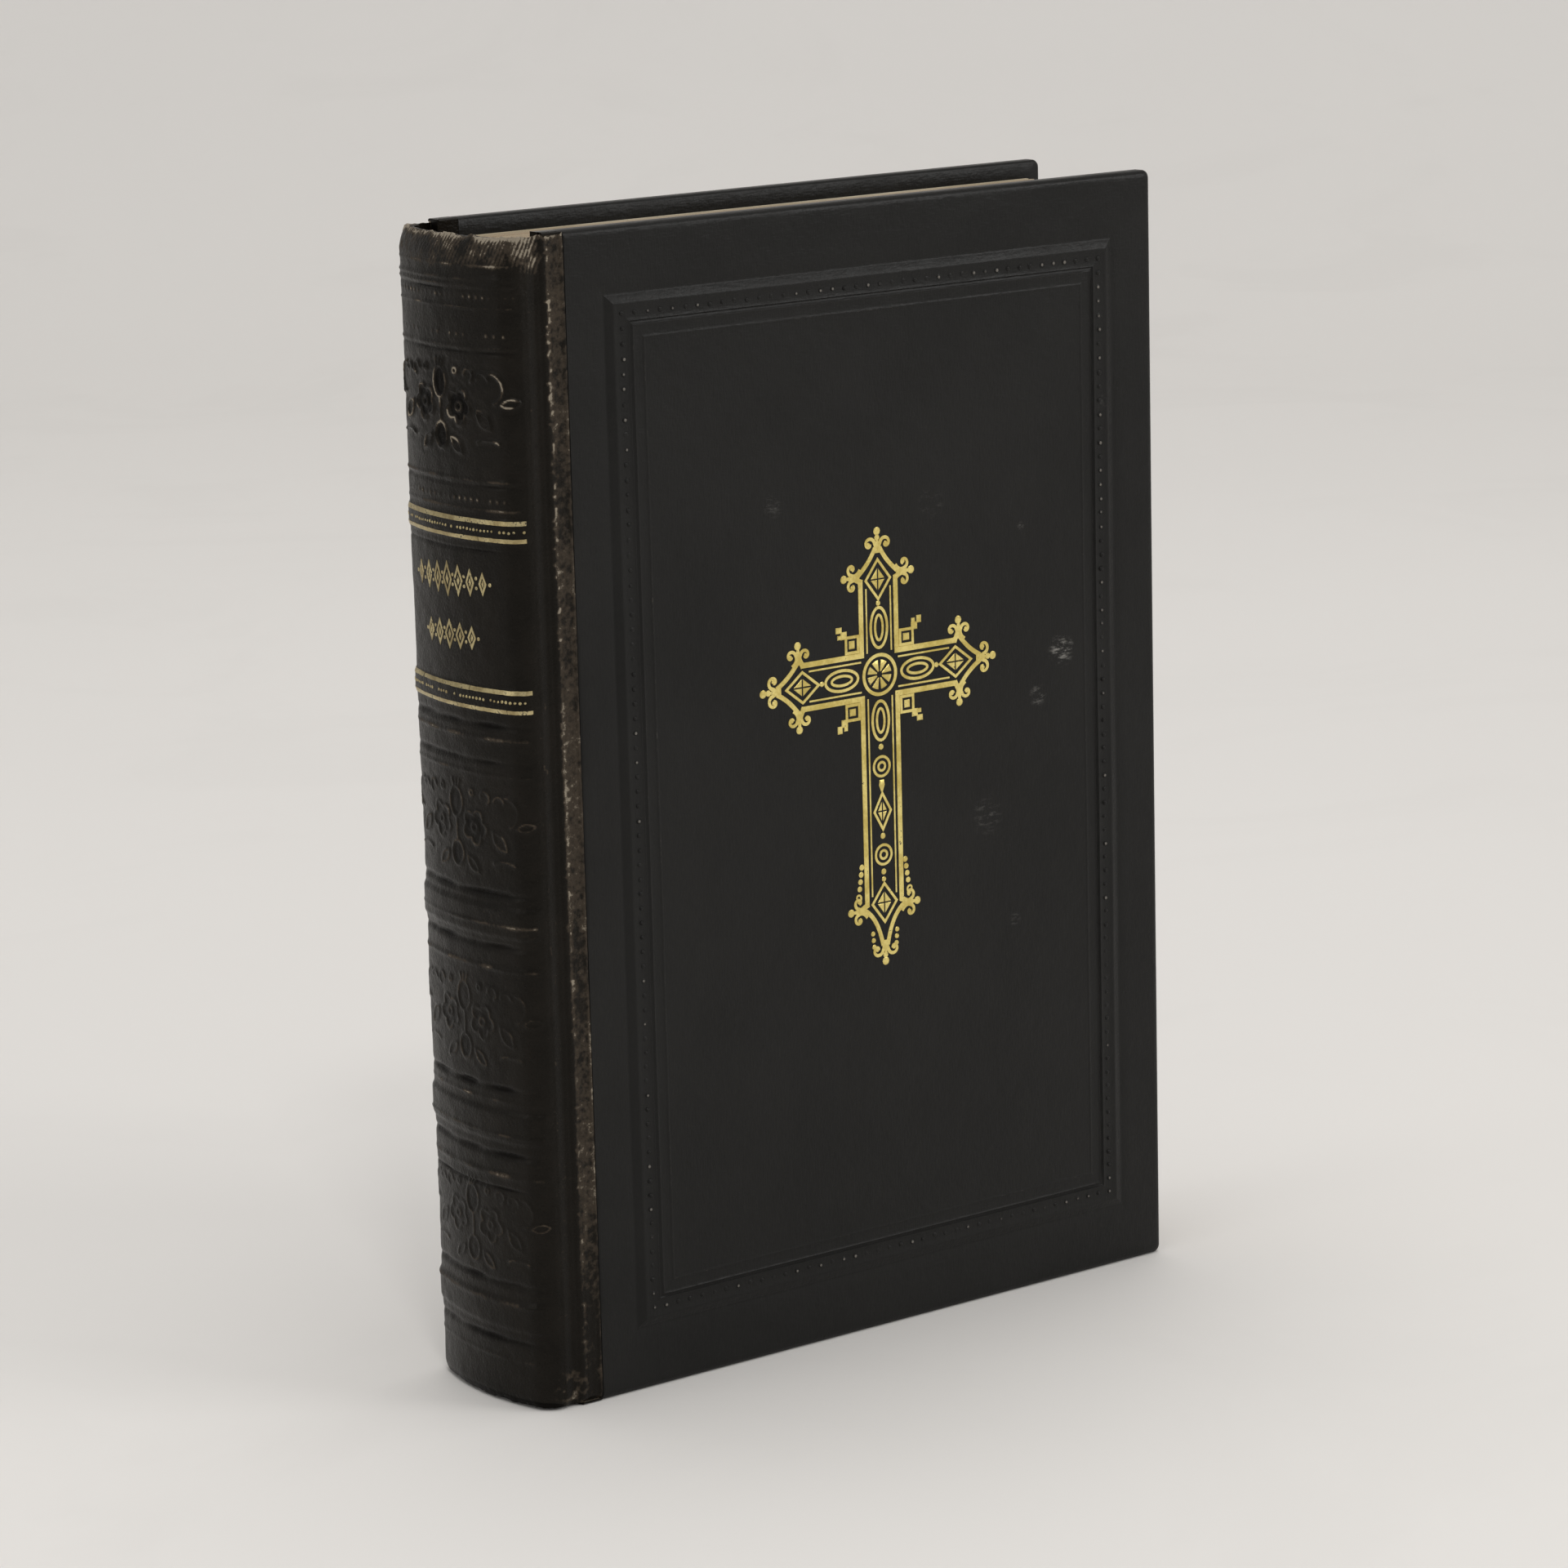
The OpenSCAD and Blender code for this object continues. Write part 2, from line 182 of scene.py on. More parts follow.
class Parts:
    """Collects closed solids into one mesh."""

    def __init__(self):
        self.verts, self.faces, self.attr, self.mats = [], [], [], []

    def add(self, verts, faces, attr=0.0, mat=0):
        n = sum(len(v) for v in self.verts)
        self.verts.append(np.asarray(verts, float).reshape(-1, 3))
        self.faces += [[i + n for i in f] for f in faces]
        self.attr.append(np.broadcast_to(attr, len(self.verts[-1])))
        self.mats += [mat] * len(faces) if np.isscalar(mat) else list(mat)

    # the point attribute holds real wear and painted light: painted highlights above, painted shade below
    # zero
    def make(self, name, mats, attr="wear_and_painted_light", **more):
        return make(
            name, np.concatenate(self.verts), self.faces, mats,
            {attr: np.concatenate(self.attr)}, self.mats, **more,
        )


def shell(outer, inner):
    """Closed skin from an outer grid (columns, rows, 3) and an inner one with as many columns."""
    n, m, k = outer.shape[0], outer.shape[1], inner.shape[1]
    verts = np.concatenate([outer.reshape(-1, 3), inner.reshape(-1, 3)])
    o = np.arange(n * m).reshape(n, m)
    q = np.arange(n * k).reshape(n, k) + n * m
    faces = np.stack([o[:-1, :-1], o[1:, :-1], o[1:, 1:], o[:-1, 1:]], -1).reshape(-1, 4).tolist()
    faces += np.stack([q[:-1, :-1], q[:-1, 1:], q[1:, 1:], q[1:, :-1]], -1).reshape(-1, 4).tolist()
    for i in range(n - 1):
        faces.append([o[i, 0], q[i, 0], q[i + 1, 0], o[i + 1, 0]])
        faces.append([o[i, -1], o[i + 1, -1], q[i + 1, -1], q[i, -1]])
    faces.append(o[0].tolist() + q[0][::-1].tolist())
    faces.append(o[-1][::-1].tolist() + q[-1].tolist())
    return verts, faces


def loft(rings):
    """Joins closed rings of the same point count and caps both ends."""
    n = len(rings[0])
    verts = np.concatenate(rings)
    faces = []
    for r in range(len(rings) - 1):
        a, b = r * n, (r + 1) * n
        faces += [[a + i, a + (i + 1) % n, b + (i + 1) % n, b + i] for i in range(n)]
    faces.append(list(range(n))[::-1])
    faces.append(list(range((len(rings) - 1) * n, len(rings) * n)))
    return verts, faces


# ---------- materials


class Mat:
    """Short way to write a procedural material; texture scales are per millimetre."""

    def __init__(self, name):
        self.mat = bpy.data.materials.new(name)
        self.mat.use_nodes = True
        self.tree = self.mat.node_tree
        self.shader = self.tree.nodes["Principled BSDF"]
        self.coord = self.node("ShaderNodeTexCoord").outputs["Object"]

    def node(self, kind, inputs=None, **props):
        n = self.tree.nodes.new(kind)
        for key, value in props.items():
            setattr(n, key, value)
        for key, value in (inputs or {}).items():
            self.put(n.inputs[key], value)
        return n

    def put(self, socket, value):
        if isinstance(value, bpy.types.NodeSocket):
            self.tree.links.new(value, socket)
        else:
            socket.default_value = value

    def set(self, **inputs):
        for key, value in inputs.items():
            self.put(self.shader.inputs[key.replace("_", " ")], value)

    def place(self, stretch=(1, 1, 1), turn=(0, 0, 0)):
        """Object coordinates in millimetres, stretched."""
        inputs = {"Vector": self.coord, "Scale": tuple(1000 * s for s in stretch), "Rotation": turn}
        return self.node("ShaderNodeMapping", inputs).outputs[0]

    def noise(self, scale, detail=3, rough=0.5, stretch=(1, 1, 1), turn=(0, 0, 0), distort=0.0):
        inputs = {"Vector": self.place(stretch, turn), "Scale": scale, "Detail": detail}
        inputs.update({"Roughness": rough, "Distortion": distort})
        return self.node("ShaderNodeTexNoise", inputs).outputs["Fac"]

    def cells(self, scale):
        return self.node("ShaderNodeTexVoronoi", {"Vector": self.place(), "Scale": scale}).outputs["Distance"]

    def wave(self, scale, distort, direction):
        inputs = {"Vector": self.place(), "Scale": scale, "Distortion": distort}
        return self.node("ShaderNodeTexWave", inputs, bands_direction=direction).outputs["Fac"]

    def attr(self, name):
        return self.node("ShaderNodeAttribute", attribute_name=name).outputs["Fac"]

    def math(self, op, a, b):
        n = self.node("ShaderNodeMath", operation=op)
        self.put(n.inputs[0], a)
        self.put(n.inputs[1], b)
        return n.outputs[0]

    def centred(self, value, gain=1.0):
        """A 0..1 value moved to lie about zero, times `gain`."""
        return self.math("MULTIPLY", self.math("SUBTRACT", value, 0.5), gain)

    def step(self, value, lo, hi, out_lo=0.0, out_hi=1.0):
        return self.node(
            "ShaderNodeMapRange",
            {"Value": value, "From Min": lo, "From Max": hi, "To Min": out_lo, "To Max": out_hi},
            interpolation_type="SMOOTHSTEP",
        ).outputs["Result"]

    def mix(self, fac, a, b):
        n = self.node("ShaderNodeMix", data_type="RGBA")
        self.put(n.inputs[0], fac)
        self.put(n.inputs[6], (*a, 1) if isinstance(a, tuple) else a)
        self.put(n.inputs[7], (*b, 1) if isinstance(b, tuple) else b)
        return n.outputs[2]

    def bump(self, *layers):
        """Each layer is (height value, depth in mm)."""
        normal = None
        for value, depth in layers:
            n = self.node("ShaderNodeBump", {"Height": value, "Distance": depth * 0.001, "Strength": 1.0})
            if normal is not None:
                self.put(n.inputs["Normal"], normal)
            normal = n.outputs[0]
        self.put(self.shader.inputs["Normal"], normal)


def leather_material():
    m = Mat("black_leather")
    grain = m.noise(3.2, 4, 0.6)
    pores = m.cells(2.6)
    streak = m.noise(0.9, 3, 0.6, stretch=(1, 1, 4.5))
    blotch = m.noise(0.16, 3, 0.6)
    # this mask holds real wear and painted light: painted highlights on raised tooling push it up, painted
    # shade pushes it below zero
    rub_and_painted_light = m.math("ADD", m.attr("wear_and_painted_light"), m.centred(m.noise(1.5, 5, 0.75), 1.5))
    brown = m.step(rub_and_painted_light, 0.3, 0.75)
    # the pale colour is partly real pale wear at the head cap and partly painted highlights (glints) on
    # raised lines, dots and flower outlines
    pale_rub_and_glint = m.step(m.math("ADD", rub_and_painted_light, m.centred(m.noise(4.5, 3, 0.7))), 0.85, 1.25)
    dark = m.mix(m.step(blotch, 0.35, 0.7), (0.0036, 0.0031, 0.0023), (0.0064, 0.0053, 0.0040))
    dark = m.mix(m.math("MULTIPLY", m.step(streak, 0.5, 0.8), 0.3), dark, (0.014, 0.0115, 0.009))
    # negative values of the attribute are painted shade: the bottoms of tooled grooves, the sunk petals and
    # the tail's lowest rows are painted near black and given less specular
    painted_shade = m.step(m.attr("wear_and_painted_light"), -0.6, -0.05, 1, 0)
    dark = m.mix(painted_shade, dark, (0.0022, 0.0018, 0.0015))
    worn = m.mix(m.noise(2.2, 3, 0.6), (0.024, 0.018, 0.0125), (0.064, 0.049, 0.035))
    colour = m.mix(m.math("MULTIPLY", brown, 0.85), dark, worn)
    colour = m.mix(m.math("MULTIPLY", pale_rub_and_glint, 0.8), colour, (0.30, 0.26, 0.20))
    m.set(Base_Color=colour, Specular_IOR_Level=m.step(painted_shade, 0, 1, 0.14, 0.06))
    m.set(Specular_Tint=(1.0, 0.93, 0.84, 1))
    m.set(Roughness=m.math("ADD", m.step(grain, 0.2, 0.8, 0.24, 0.38), m.math("MULTIPLY", brown, 0.25)))
    m.bump((grain, 0.045), (pores, 0.02), (m.noise(0.55, 2, 0.5), 0.10))
    return m.mat


def cloth_material():
    m = Mat("black_cloth")
    weft, warp = (m.noise(2.2, 2, 0.5, stretch=shape) for shape in ((0.35, 1, 1.6), (1.6, 1, 0.35)))
    weave = m.math("ADD", weft, warp)
    fine = m.noise(5.5, 3, 0.7)
    blotch = m.noise(0.05, 4, 0.6)
    rub_and_painted_light = m.math("ADD", m.attr("wear_and_painted_light"), m.centred(m.noise(1.6, 4, 0.7), 1.1))
    base = m.mix(m.step(blotch, 0.3, 0.7), (0.0066, 0.0064, 0.0058), (0.0092, 0.0089, 0.0081))
    base = m.mix(m.step(fine, 0.55, 0.9, 0, 0.35), base, (0.022, 0.0215, 0.020))
    scuff = 0.0
    near = m.noise(1.1, 5, 0.75, turn=(0, 0.5, 0), stretch=(0.6, 1, 1.6))
    for x, z, reach, power in SCUFFS:
        ends = {0: m.place(), 1: (SHEET_X + x, -HALF, z)}
        away = m.node("ShaderNodeVectorMath", ends, operation="DISTANCE").outputs["Value"]
        spot = m.math("MULTIPLY", m.step(away, reach * 0.25, reach, power, 0.0), m.step(near, 0.48, 0.66))
        scuff = m.math("ADD", spot, scuff)
    base = m.mix(scuff, base, (0.27, 0.26, 0.24))
    # painted pale: real rubbing on the cover's edges and frame ridges, and painted highlights (glints) on the
    # beads' tops
    base = m.mix(m.step(rub_and_painted_light, 0.7, 1.2, 0, 0.8), base, (0.17, 0.155, 0.135))
    m.set(Base_Color=base, Specular_IOR_Level=0.185)
    m.set(Roughness=m.step(m.math("ADD", fine, blotch), 0.7, 1.3, 0.34, 0.46))
    m.bump((weave, 0.03), (fine, 0.012), (m.noise(0.35, 3, 0.6), 0.12))
    return m.mat


def gold_material(name, limit, light, dark):
    m = Mat(name)
    flake = m.noise(2.4, 5, 0.75)
    patch = m.noise(0.35, 3, 0.6)
    lost = m.step(m.math("ADD", flake, m.centred(patch, 0.5)), limit, limit + 0.06)
    tone = m.mix(m.step(m.math("ADD", patch, m.centred(flake, 0.6)), 0.3, 0.7), dark, light)
    m.set(Base_Color=m.mix(lost, tone, (0.05, 0.038, 0.02)), Metallic=m.step(lost, 0, 1, 1, 0.1))
    m.set(Roughness=m.step(flake, 0.3, 0.7, 0.30, 0.46))
    m.bump((m.noise(2.8, 3, 0.6), 0.05), (m.noise(0.8, 2, 0.5), 0.06))
    return m.mat


def paper_material(name, light, dark, layered=False):
    m = Mat(name)
    spots = m.step(m.noise(0.16, 5, 0.7), 0.60, 0.72)
    fibre = m.noise(1.2, 4, 0.65, stretch=(1, 1, 0.4))
    colour = m.mix(m.step(m.noise(0.03, 3, 0.6), 0.3, 0.7), light, dark)
    foxing = tuple(c * k for c, k in zip(dark, (0.75, 0.6, 0.45)))
    colour = m.mix(m.math("MULTIPLY", spots, 0.35), colour, foxing)
    if layered:
        # each leaf's edge has its own tone
        band = m.noise(1.0, 2, 0.9, stretch=(0.02, 9.0, 0.02))
        colour = m.mix(m.step(band, 0.35, 0.7, 0, 0.75), colour, tuple(c * 0.35 for c in dark))
    m.set(Base_Color=colour, Roughness=m.step(fibre, 0.3, 0.7, 0.75, 0.9), Specular_IOR_Level=0.25)
    m.bump((fibre, 0.03), (m.noise(0.12, 3, 0.6), 0.12))
    return m.mat


def linen_material():
    m = Mat("linen")
    weave = m.math("MAXIMUM", m.wave(1.6, 0.6, "Z"), m.wave(1.6, 0.6, "Y"))
    clean = m.step(m.math("MULTIPLY", weave, m.noise(0.1, 4, 0.6)), 0.1, 0.6)
    m.set(Base_Color=m.mix(clean, (0.36, 0.31, 0.23), (0.55, 0.50, 0.40)), Roughness=0.85)
    m.bump((weave, 0.08), (m.noise(3, 3, 0.6), 0.03))
    return m.mat


def card_material():
    m = Mat("grey_board")
    flecks = m.noise(1.8, 5, 0.75)
    colour = m.mix(m.step(flecks, 0.35, 0.7), (0.16, 0.125, 0.085), (0.34, 0.29, 0.22))
    m.set(Base_Color=colour, Roughness=m.step(flecks, 0.3, 0.7, 0.8, 0.95), Specular_IOR_Level=0.2)
    m.bump((flecks, 0.08), (m.noise(0.5, 3, 0.6), 0.1))
    return m.mat


def headband_material():
    m = Mat("headband_silk")
    stripe = m.step(m.wave(0.32, 0.4, "Y"), 0.4, 0.6)
    thread = m.noise(1.0, 2, 0.5, stretch=(0.4, 4.0, 0.4))
    colour = m.mix(stripe, (0.42, 0.37, 0.26), (0.10, 0.035, 0.03))
    m.set(Base_Color=m.mix(m.step(thread, 0.4, 0.8, 0, 0.5), colour, (0.06, 0.05, 0.04)), Roughness=0.6)
    m.bump((thread, 0.08), (m.noise(3, 2, 0.5), 0.02))
    return m.mat


def floor_material():
    m = Mat("pale_floor")
    vein = m.noise(0.009, 5, 0.6, distort=1.0)
    soft = m.noise(0.0012, 3, 0.5)
    colour = m.mix(m.step(soft, 0.3, 0.7), (0.72, 0.702, 0.682), (0.75, 0.732, 0.709))
    m.set(Base_Color=m.mix(m.step(vein, 0.5, 0.66, 0, 0.16), colour, (0.66, 0.643, 0.622)), Roughness=0.6)
    m.set(Specular_IOR_Level=0.2)
    return m.mat


# pale abrasions on the front cover: centre (x, z) from the cloth's lower left corner, reach, strength
SCUFFS = [
    (77.7, 87.5, 2.6, 0.75), (73.5, 81.9, 1.8, 0.5), (64.5, 67.0, 3.2, 0.16),
    (30.5, 112.5, 2.0, 0.16), (71.0, 105.0, 0.8, 0.5), (56.0, 110.0, 2.6, 0.12),
    (69.0, 52.0, 1.2, 0.22), (85.5, 120.0, 1.3, 0.2),
]
LEATHER = leather_material()
CLOTH = cloth_material()
GOLD = gold_material("gold_foil", 0.67, (0.80, 0.67, 0.25), (0.56, 0.44, 0.125))
GOLD_WORN = gold_material("worn_gold_foil", 0.58, (0.60, 0.51, 0.28), (0.30, 0.235, 0.115))
ENDPAPER = paper_material("endpaper", (0.60, 0.53, 0.40), (0.50, 0.42, 0.29))
PAGE = paper_material("page", (0.62, 0.56, 0.44), (0.53, 0.46, 0.33))
PAGE_EDGE = paper_material("page_edge", (0.36, 0.26, 0.17), (0.27, 0.185, 0.115), layered=True)
LINEN = linen_material()
CARD = card_material()
SILK = headband_material()

# ---------- cover sheets

# distance of the raised frame's foot from the cloth's four sides, and the height of its middle
FRAME_LEFT, FRAME_RIGHT, FRAME_TAIL, FRAME_HEAD = 5.8, 7.2, 8.4, 8.5
PANEL_RISE = 0.36
# points along a ring's short side, its long side and each corner
SIDE_X, SIDE_Z, CORNER = 56, 90, 7
# profile of the frame from its inner edge outwards: distance from its foot, height over the panel, rub
FRAME_PROFILE = [
    (5.9, 0, 0), (5.72, 0, 0.2), (5.6, 0.05, 0.72), (5.48, 0, 0.2), (5.2, -0.03, 0), (4.3, -0.02, 0),
    (4.05, 0, 0.2), (3.95, 0.05, 0.66), (3.85, 0, 0.1), (3.7, -0.12, 0), (3.5, -0.12, 0),
    (3.38, 0.04, 0.55), (3.2, 0, 0), (2.9, -0.04, 0), (2.0, -0.04, 0), (1.6, -0.02, 0),
    (1.3, 0.03, 0.35), (1.1, 0.03, 0.5), (0.98, -0.02, 0.3),
]
# from the rolled edge over the turn-in and back beside the board: left inset, other insets, level,
# corner radius, rub
TURN_PROFILE = [
    (0.0, 0.0, INNER + 0.9, 0.95, 0.15), (0.0, 0.0, INNER + 0.45, 0.95, 0.3),
    (0.01, 0.12, INNER + 0.14, 0.9, 0.5), (0.01, 0.4, INNER, 0.8, 0.45), (0.02, 2.0, INNER, 0.7, 0),
    (0.02, 7.0, INNER, 0.6, 0), (0.02, 11.9, INNER, 0.5, 0), (0.03, 12.0, INNER + TURNED_T, 0.4, 0),
    (0.04, 4.0, INNER + TURNED_T, 0.6, 0), (0.05, 0.37, INNER + TURNED_T, 0.6, 0),
    (0.05, 0.37, INNER + 1.2, 0.6, 0), (0.06, 0.37, HALF - CLOTH_T, 0.6, 0),
]


def rect_ring(left, right, tail, head, radius, out):
    """Ring inset from the sheet's four sides, `out` from the book's middle; all match point by point."""
    x0, x1, z0, z1 = SHEET_X + left, FORE_X - right, tail, HEIGHT - head
    small = 0.02
    corners = [
        (x0 + small, z0 + small, small, math.pi), (x1 - radius, z0 + radius, radius, 1.5 * math.pi),
        (x1 - radius, z1 - radius, radius, 0.0), (x0 + small, z1 - small, small, 0.5 * math.pi),
    ]
    arcs = [
        [(cx + r * math.cos(a + t), cz + r * math.sin(a + t)) for t in np.linspace(0, math.pi / 2, CORNER)]
        for cx, cz, r, a in corners
    ]
    points = []
    for i, count in enumerate((SIDE_X, SIDE_Z, SIDE_X, SIDE_Z)):
        points += arcs[i]
        a, b = np.array(arcs[i][-1]), np.array(arcs[(i + 1) % 4][0])
        points += [tuple(a + (b - a) * t) for t in np.linspace(0, 1, count + 2)[1:-1]]
    points = np.array(points)
    level = np.broadcast_to(out, len(points))
    return np.column_stack([points[:, 0], -level, points[:, 1]])


def cover_rings(seed):
    rings, wear_and_painted_light = [], []

    def ring(left, right, tail, head, out, radius=0.02, worn=0.0, bent=1.0):
        r = rect_ring(left, right, tail, head, radius, out)
        wave = 0.16 * noise(r[:, 0], r[:, 2], 22, seed) + 0.05 * noise(r[:, 0], r[:, 2], 5, seed + 1)
        r[:, 1] -= wave * bent
        rings.append(r)
        rub_and_painted_light = 0.25 * noise(r[:, 0], r[:, 2], 3, seed + 2)
        wear_and_painted_light.append(np.full(len(r), worn) + rub_and_painted_light)

    def inset_by(e):
        return (FRAME_LEFT + e, FRAME_RIGHT + e, FRAME_TAIL + e, FRAME_HEAD + e)

    def between(t, a, b):
        return [p + (q - p) * t for p, q in zip(a, b)]

    for t in np.linspace(1, 0.08, 9):
        ring(*between(t, inset_by(5.9), (44, 44, 70, 70)), HALF + PANEL_RISE)
    for e, step, worn in FRAME_PROFILE:
        ring(*inset_by(e), HALF + PANEL_RISE + step, worn=worn)
    for e, rise in ((0.12, 0.03), (0.0, -0.05), (-0.25, 0.0)):
        ring(*inset_by(e), HALF + rise)
    edge, roll = (0.5, 1.1, 1.1, 1.1), 0.75
    for t in (0.25, 0.5, 0.75, 1.0):
        ring(*between(t, inset_by(-0.25), edge), HALF, radius=0.02 + 0.5 * t)
    for turn in np.radians([15, 32, 50, 70, 90]):
        inset = 0.9 * (1 - math.sin(turn))
        drop = roll * (1 - math.cos(turn))
        bent = 0.3 * math.cos(turn)
        ring(0.25 * inset, inset, inset, inset, HALF - drop, 0.95 - 0.3 * inset, 0.45, bent)
    for left, inset, out, radius, worn in TURN_PROFILE:
        ring(left, inset, inset, inset, out, radius, worn, bent=0.0)
    ring(30, 30, 60, 60, HALF - CLOTH_T, 0.5, bent=0.0)
    return rings, wear_and_painted_light


def bead(centre_x, centre_z, out, radius, height, glint, sides=8):
    """Small round bump; only its top is painted bright as a highlight (a glint)."""
    rings, wear_and_painted_light = [], []
    a = np.linspace(0, 2 * math.pi, sides, endpoint=False)
    # share of the radius, level over the sheet, share of painted highlight
    for share, rise, painted_highlight in ((1.0, -0.12, 0), (1.0, 0, 0), (0.76, 0.7 * height, 0.1), (0.36, height, 1)):
        x, z = centre_x + radius * share * np.cos(a), centre_z + radius * share * np.sin(a)
        rings.append(np.column_stack([x, np.full(sides, -(out + rise)), z]))
        wear_and_painted_light += [glint * painted_highlight] * sides
    return (*loft(rings), np.array(wear_and_painted_light))


def cover(side, seed):
    """Cloth of one cover with its raised tooled frame; side is -1 for the front, 1 for the back."""
    rings, wear_and_painted_light = cover_rings(seed)
    parts = Parts()
    verts, faces = loft(rings)
    parts.add(verts, faces, np.concatenate(wear_and_painted_light))
    rng = np.random.default_rng(seed + 5)
    row = 2.4
    x0, x1 = SHEET_X + FRAME_LEFT + row, FORE_X - FRAME_RIGHT - row
    z0, z1 = FRAME_TAIL + row, HEIGHT - FRAME_HEAD - row
    places = []
    for a, b in (((x0, z0), (x1, z0)), ((x1, z0), (x1, z1)), ((x1, z1), (x0, z1)), ((x0, z1), (x0, z0))):
        count = round(math.dist(a, b) / 1.9)
        places += [(a[0] + (b[0] - a[0]) * i / count, a[1] + (b[1] - a[1]) * i / count) for i in range(count)]
    for x, z in places:
        tall = float(np.clip(0.10 + 0.13 * noise(x, z, 9, seed + 3) + rng.normal(0, 0.03), 0.03, 0.19))
        level = HALF + PANEL_RISE - 0.03 + 0.16 * noise(x, z, 22, seed) + 0.05 * noise(x, z, 5, seed + 1)
        size = rng.uniform(0.28, 0.36) * (1 + 0.25 * smooth(x + z, 130, 185))
        # painted highlights: a share of the beads get a bright glint painted on their tops, more of them
        # towards the upper right
        glint = rng.uniform(1.1, 2.2) if rng.random() < 0.25 + 0.3 * smooth(x + z, 60, 170) else 0.3
        bright = glint * (0.5 + 4 * tall)
        off_x, off_z = rng.normal(0, 0.04), rng.normal(0, 0.04)
        parts.add(*bead(x + off_x, z + off_z, level, size, tall * 1.2, bright))
    for v in parts.verts:
        v[:, 1] *= -side
    name = "front" if side < 0 else "back"
    ob = parts.make(f"{name}_cover_sheet", CLOTH, sharp=50)
    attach(ob, f"{name}_cover")
    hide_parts(f"{name}_cover_cloth")
    return ob


cover(-1, 11)
cover(1, 31)

# ---------- gilt ornaments


class Foil(Parts):
    """Thin gilt strokes drawn in a plane (u, v) and laid on a surface by `lay`."""

    def __init__(self, lay):
        super().__init__()
        self.lay, self.move = lay, (0, 0, 0)
        self.lift = 0.0

    def at(self, u, v, turn=0.0):
        self.move = (u, v, turn)

    def put(self, plane, heights, faces):
        u0, v0, turn = self.move
        p = np.asarray(plane, float)
        c, s = math.cos(turn), math.sin(turn)
        u, v = u0 + c * p[:, 0] - s * p[:, 1], v0 + s * p[:, 0] + c * p[:, 1]
        self.lift = (self.lift + 0.0013) % 0.02
        self.add(self.lay(u, v, np.asarray(heights) + self.lift * (np.asarray(heights) > 0)), faces)

    def stroke(self, path, width, closed=False):
        p = np.asarray(path, float)
        n = len(p)
        if closed:
            ahead, behind = np.roll(p, -1, 0), np.roll(p, 1, 0)
        else:
            ahead = np.vstack([p[1:], 2 * p[-1:] - p[-2:-1]])
            behind = np.vstack([2 * p[:1] - p[1:2], p[:-1]])
        d1, d2 = p - behind, ahead - p
        d1 /= np.maximum(np.linalg.norm(d1, axis=1, keepdims=True), 1e-9)
        d2 /= np.maximum(np.linalg.norm(d2, axis=1, keepdims=True), 1e-9)
        n1, n2 = np.column_stack([-d1[:, 1], d1[:, 0]]), np.column_stack([-d2[:, 1], d2[:, 0]])
        miter = n1 + n2
        miter /= np.maximum(np.linalg.norm(miter, axis=1, keepdims=True), 1e-9)
        stretch = 1 / np.maximum((miter * n1).sum(1), 0.4)
        off = miter * (stretch * np.broadcast_to(width, n) / 2)[:, None]
        plane = np.concatenate([p - off, p - 0.84 * off, p + 0.84 * off, p + off])
        heights = np.concatenate([np.full(n, -0.1), np.full(n, 0.05), np.full(n, 0.05), np.full(n, -0.1)])
        faces = []
        for i in range(n if closed else n - 1):
            j = (i + 1) % n
            for a in range(4):
                b = (a + 1) % 4
                faces.append([a * n + i, a * n + j, b * n + j, b * n + i])
        if not closed:
            faces += [[0, n, 2 * n, 3 * n], [n - 1, 4 * n - 1, 3 * n - 1, 2 * n - 1]]
        self.put(plane, heights, faces)

    def plate(self, outline, height=0.06):
        p = np.asarray(outline, float)
        n = len(p)
        c = p.mean(0)
        inner = c + (p - c) * 0.8
        plane = np.concatenate([p, inner, p])
        heights = np.concatenate([np.full(n, 0.0), np.full(n, height), np.full(n, -0.1)])
        faces = [[i, (i + 1) % n, n + (i + 1) % n, n + i] for i in range(n)]
        faces += [[2 * n + i, 2 * n + (i + 1) % n, (i + 1) % n, i] for i in range(n)]
        faces += [list(range(n, 2 * n)), list(range(3 * n - 1, 2 * n - 1, -1))]
        self.put(plane, heights, faces)

    def oval(self, u, v, a, b, width=None, sides=28):
        t = np.linspace(0, 2 * math.pi, sides, endpoint=False)
        path = np.column_stack([u + a * np.cos(t), v + b * np.sin(t)])
        if width:
            self.stroke(path, width, closed=True)
        else:
            self.plate(path)

    def dot(self, u, v, r):
        self.oval(u, v, r, r, sides=10)

    def diamond(self, u, v, a, b, width=None):
        path = [(u, v + b), (u + a, v), (u, v - b), (u - a, v)]
        if width:
            self.stroke(path, width, closed=True)
        else:
            self.plate(path)

    def volute(self, u, v, start, r, side, turns, width):
        t = np.linspace(0, 1, 22)
        a = start + side * t * turns * 2 * math.pi
        rr = r * (1 - 0.78 * t)
        self.stroke(np.column_stack([u + rr * np.cos(a), v + rr * np.sin(a)]), width * (1 - 0.45 * t))

    def curve(self, p0, p1, p2, p3, width, steps=14):
        t = np.linspace(0, 1, steps)[:, None]
        p0, p1, p2, p3 = map(np.array, (p0, p1, p2, p3))
        path = (1 - t) ** 3 * p0 + 3 * t * (1 - t) ** 2 * p1 + 3 * t**2 * (1 - t) * p2 + t**3 * p3
        self.stroke(path, width)


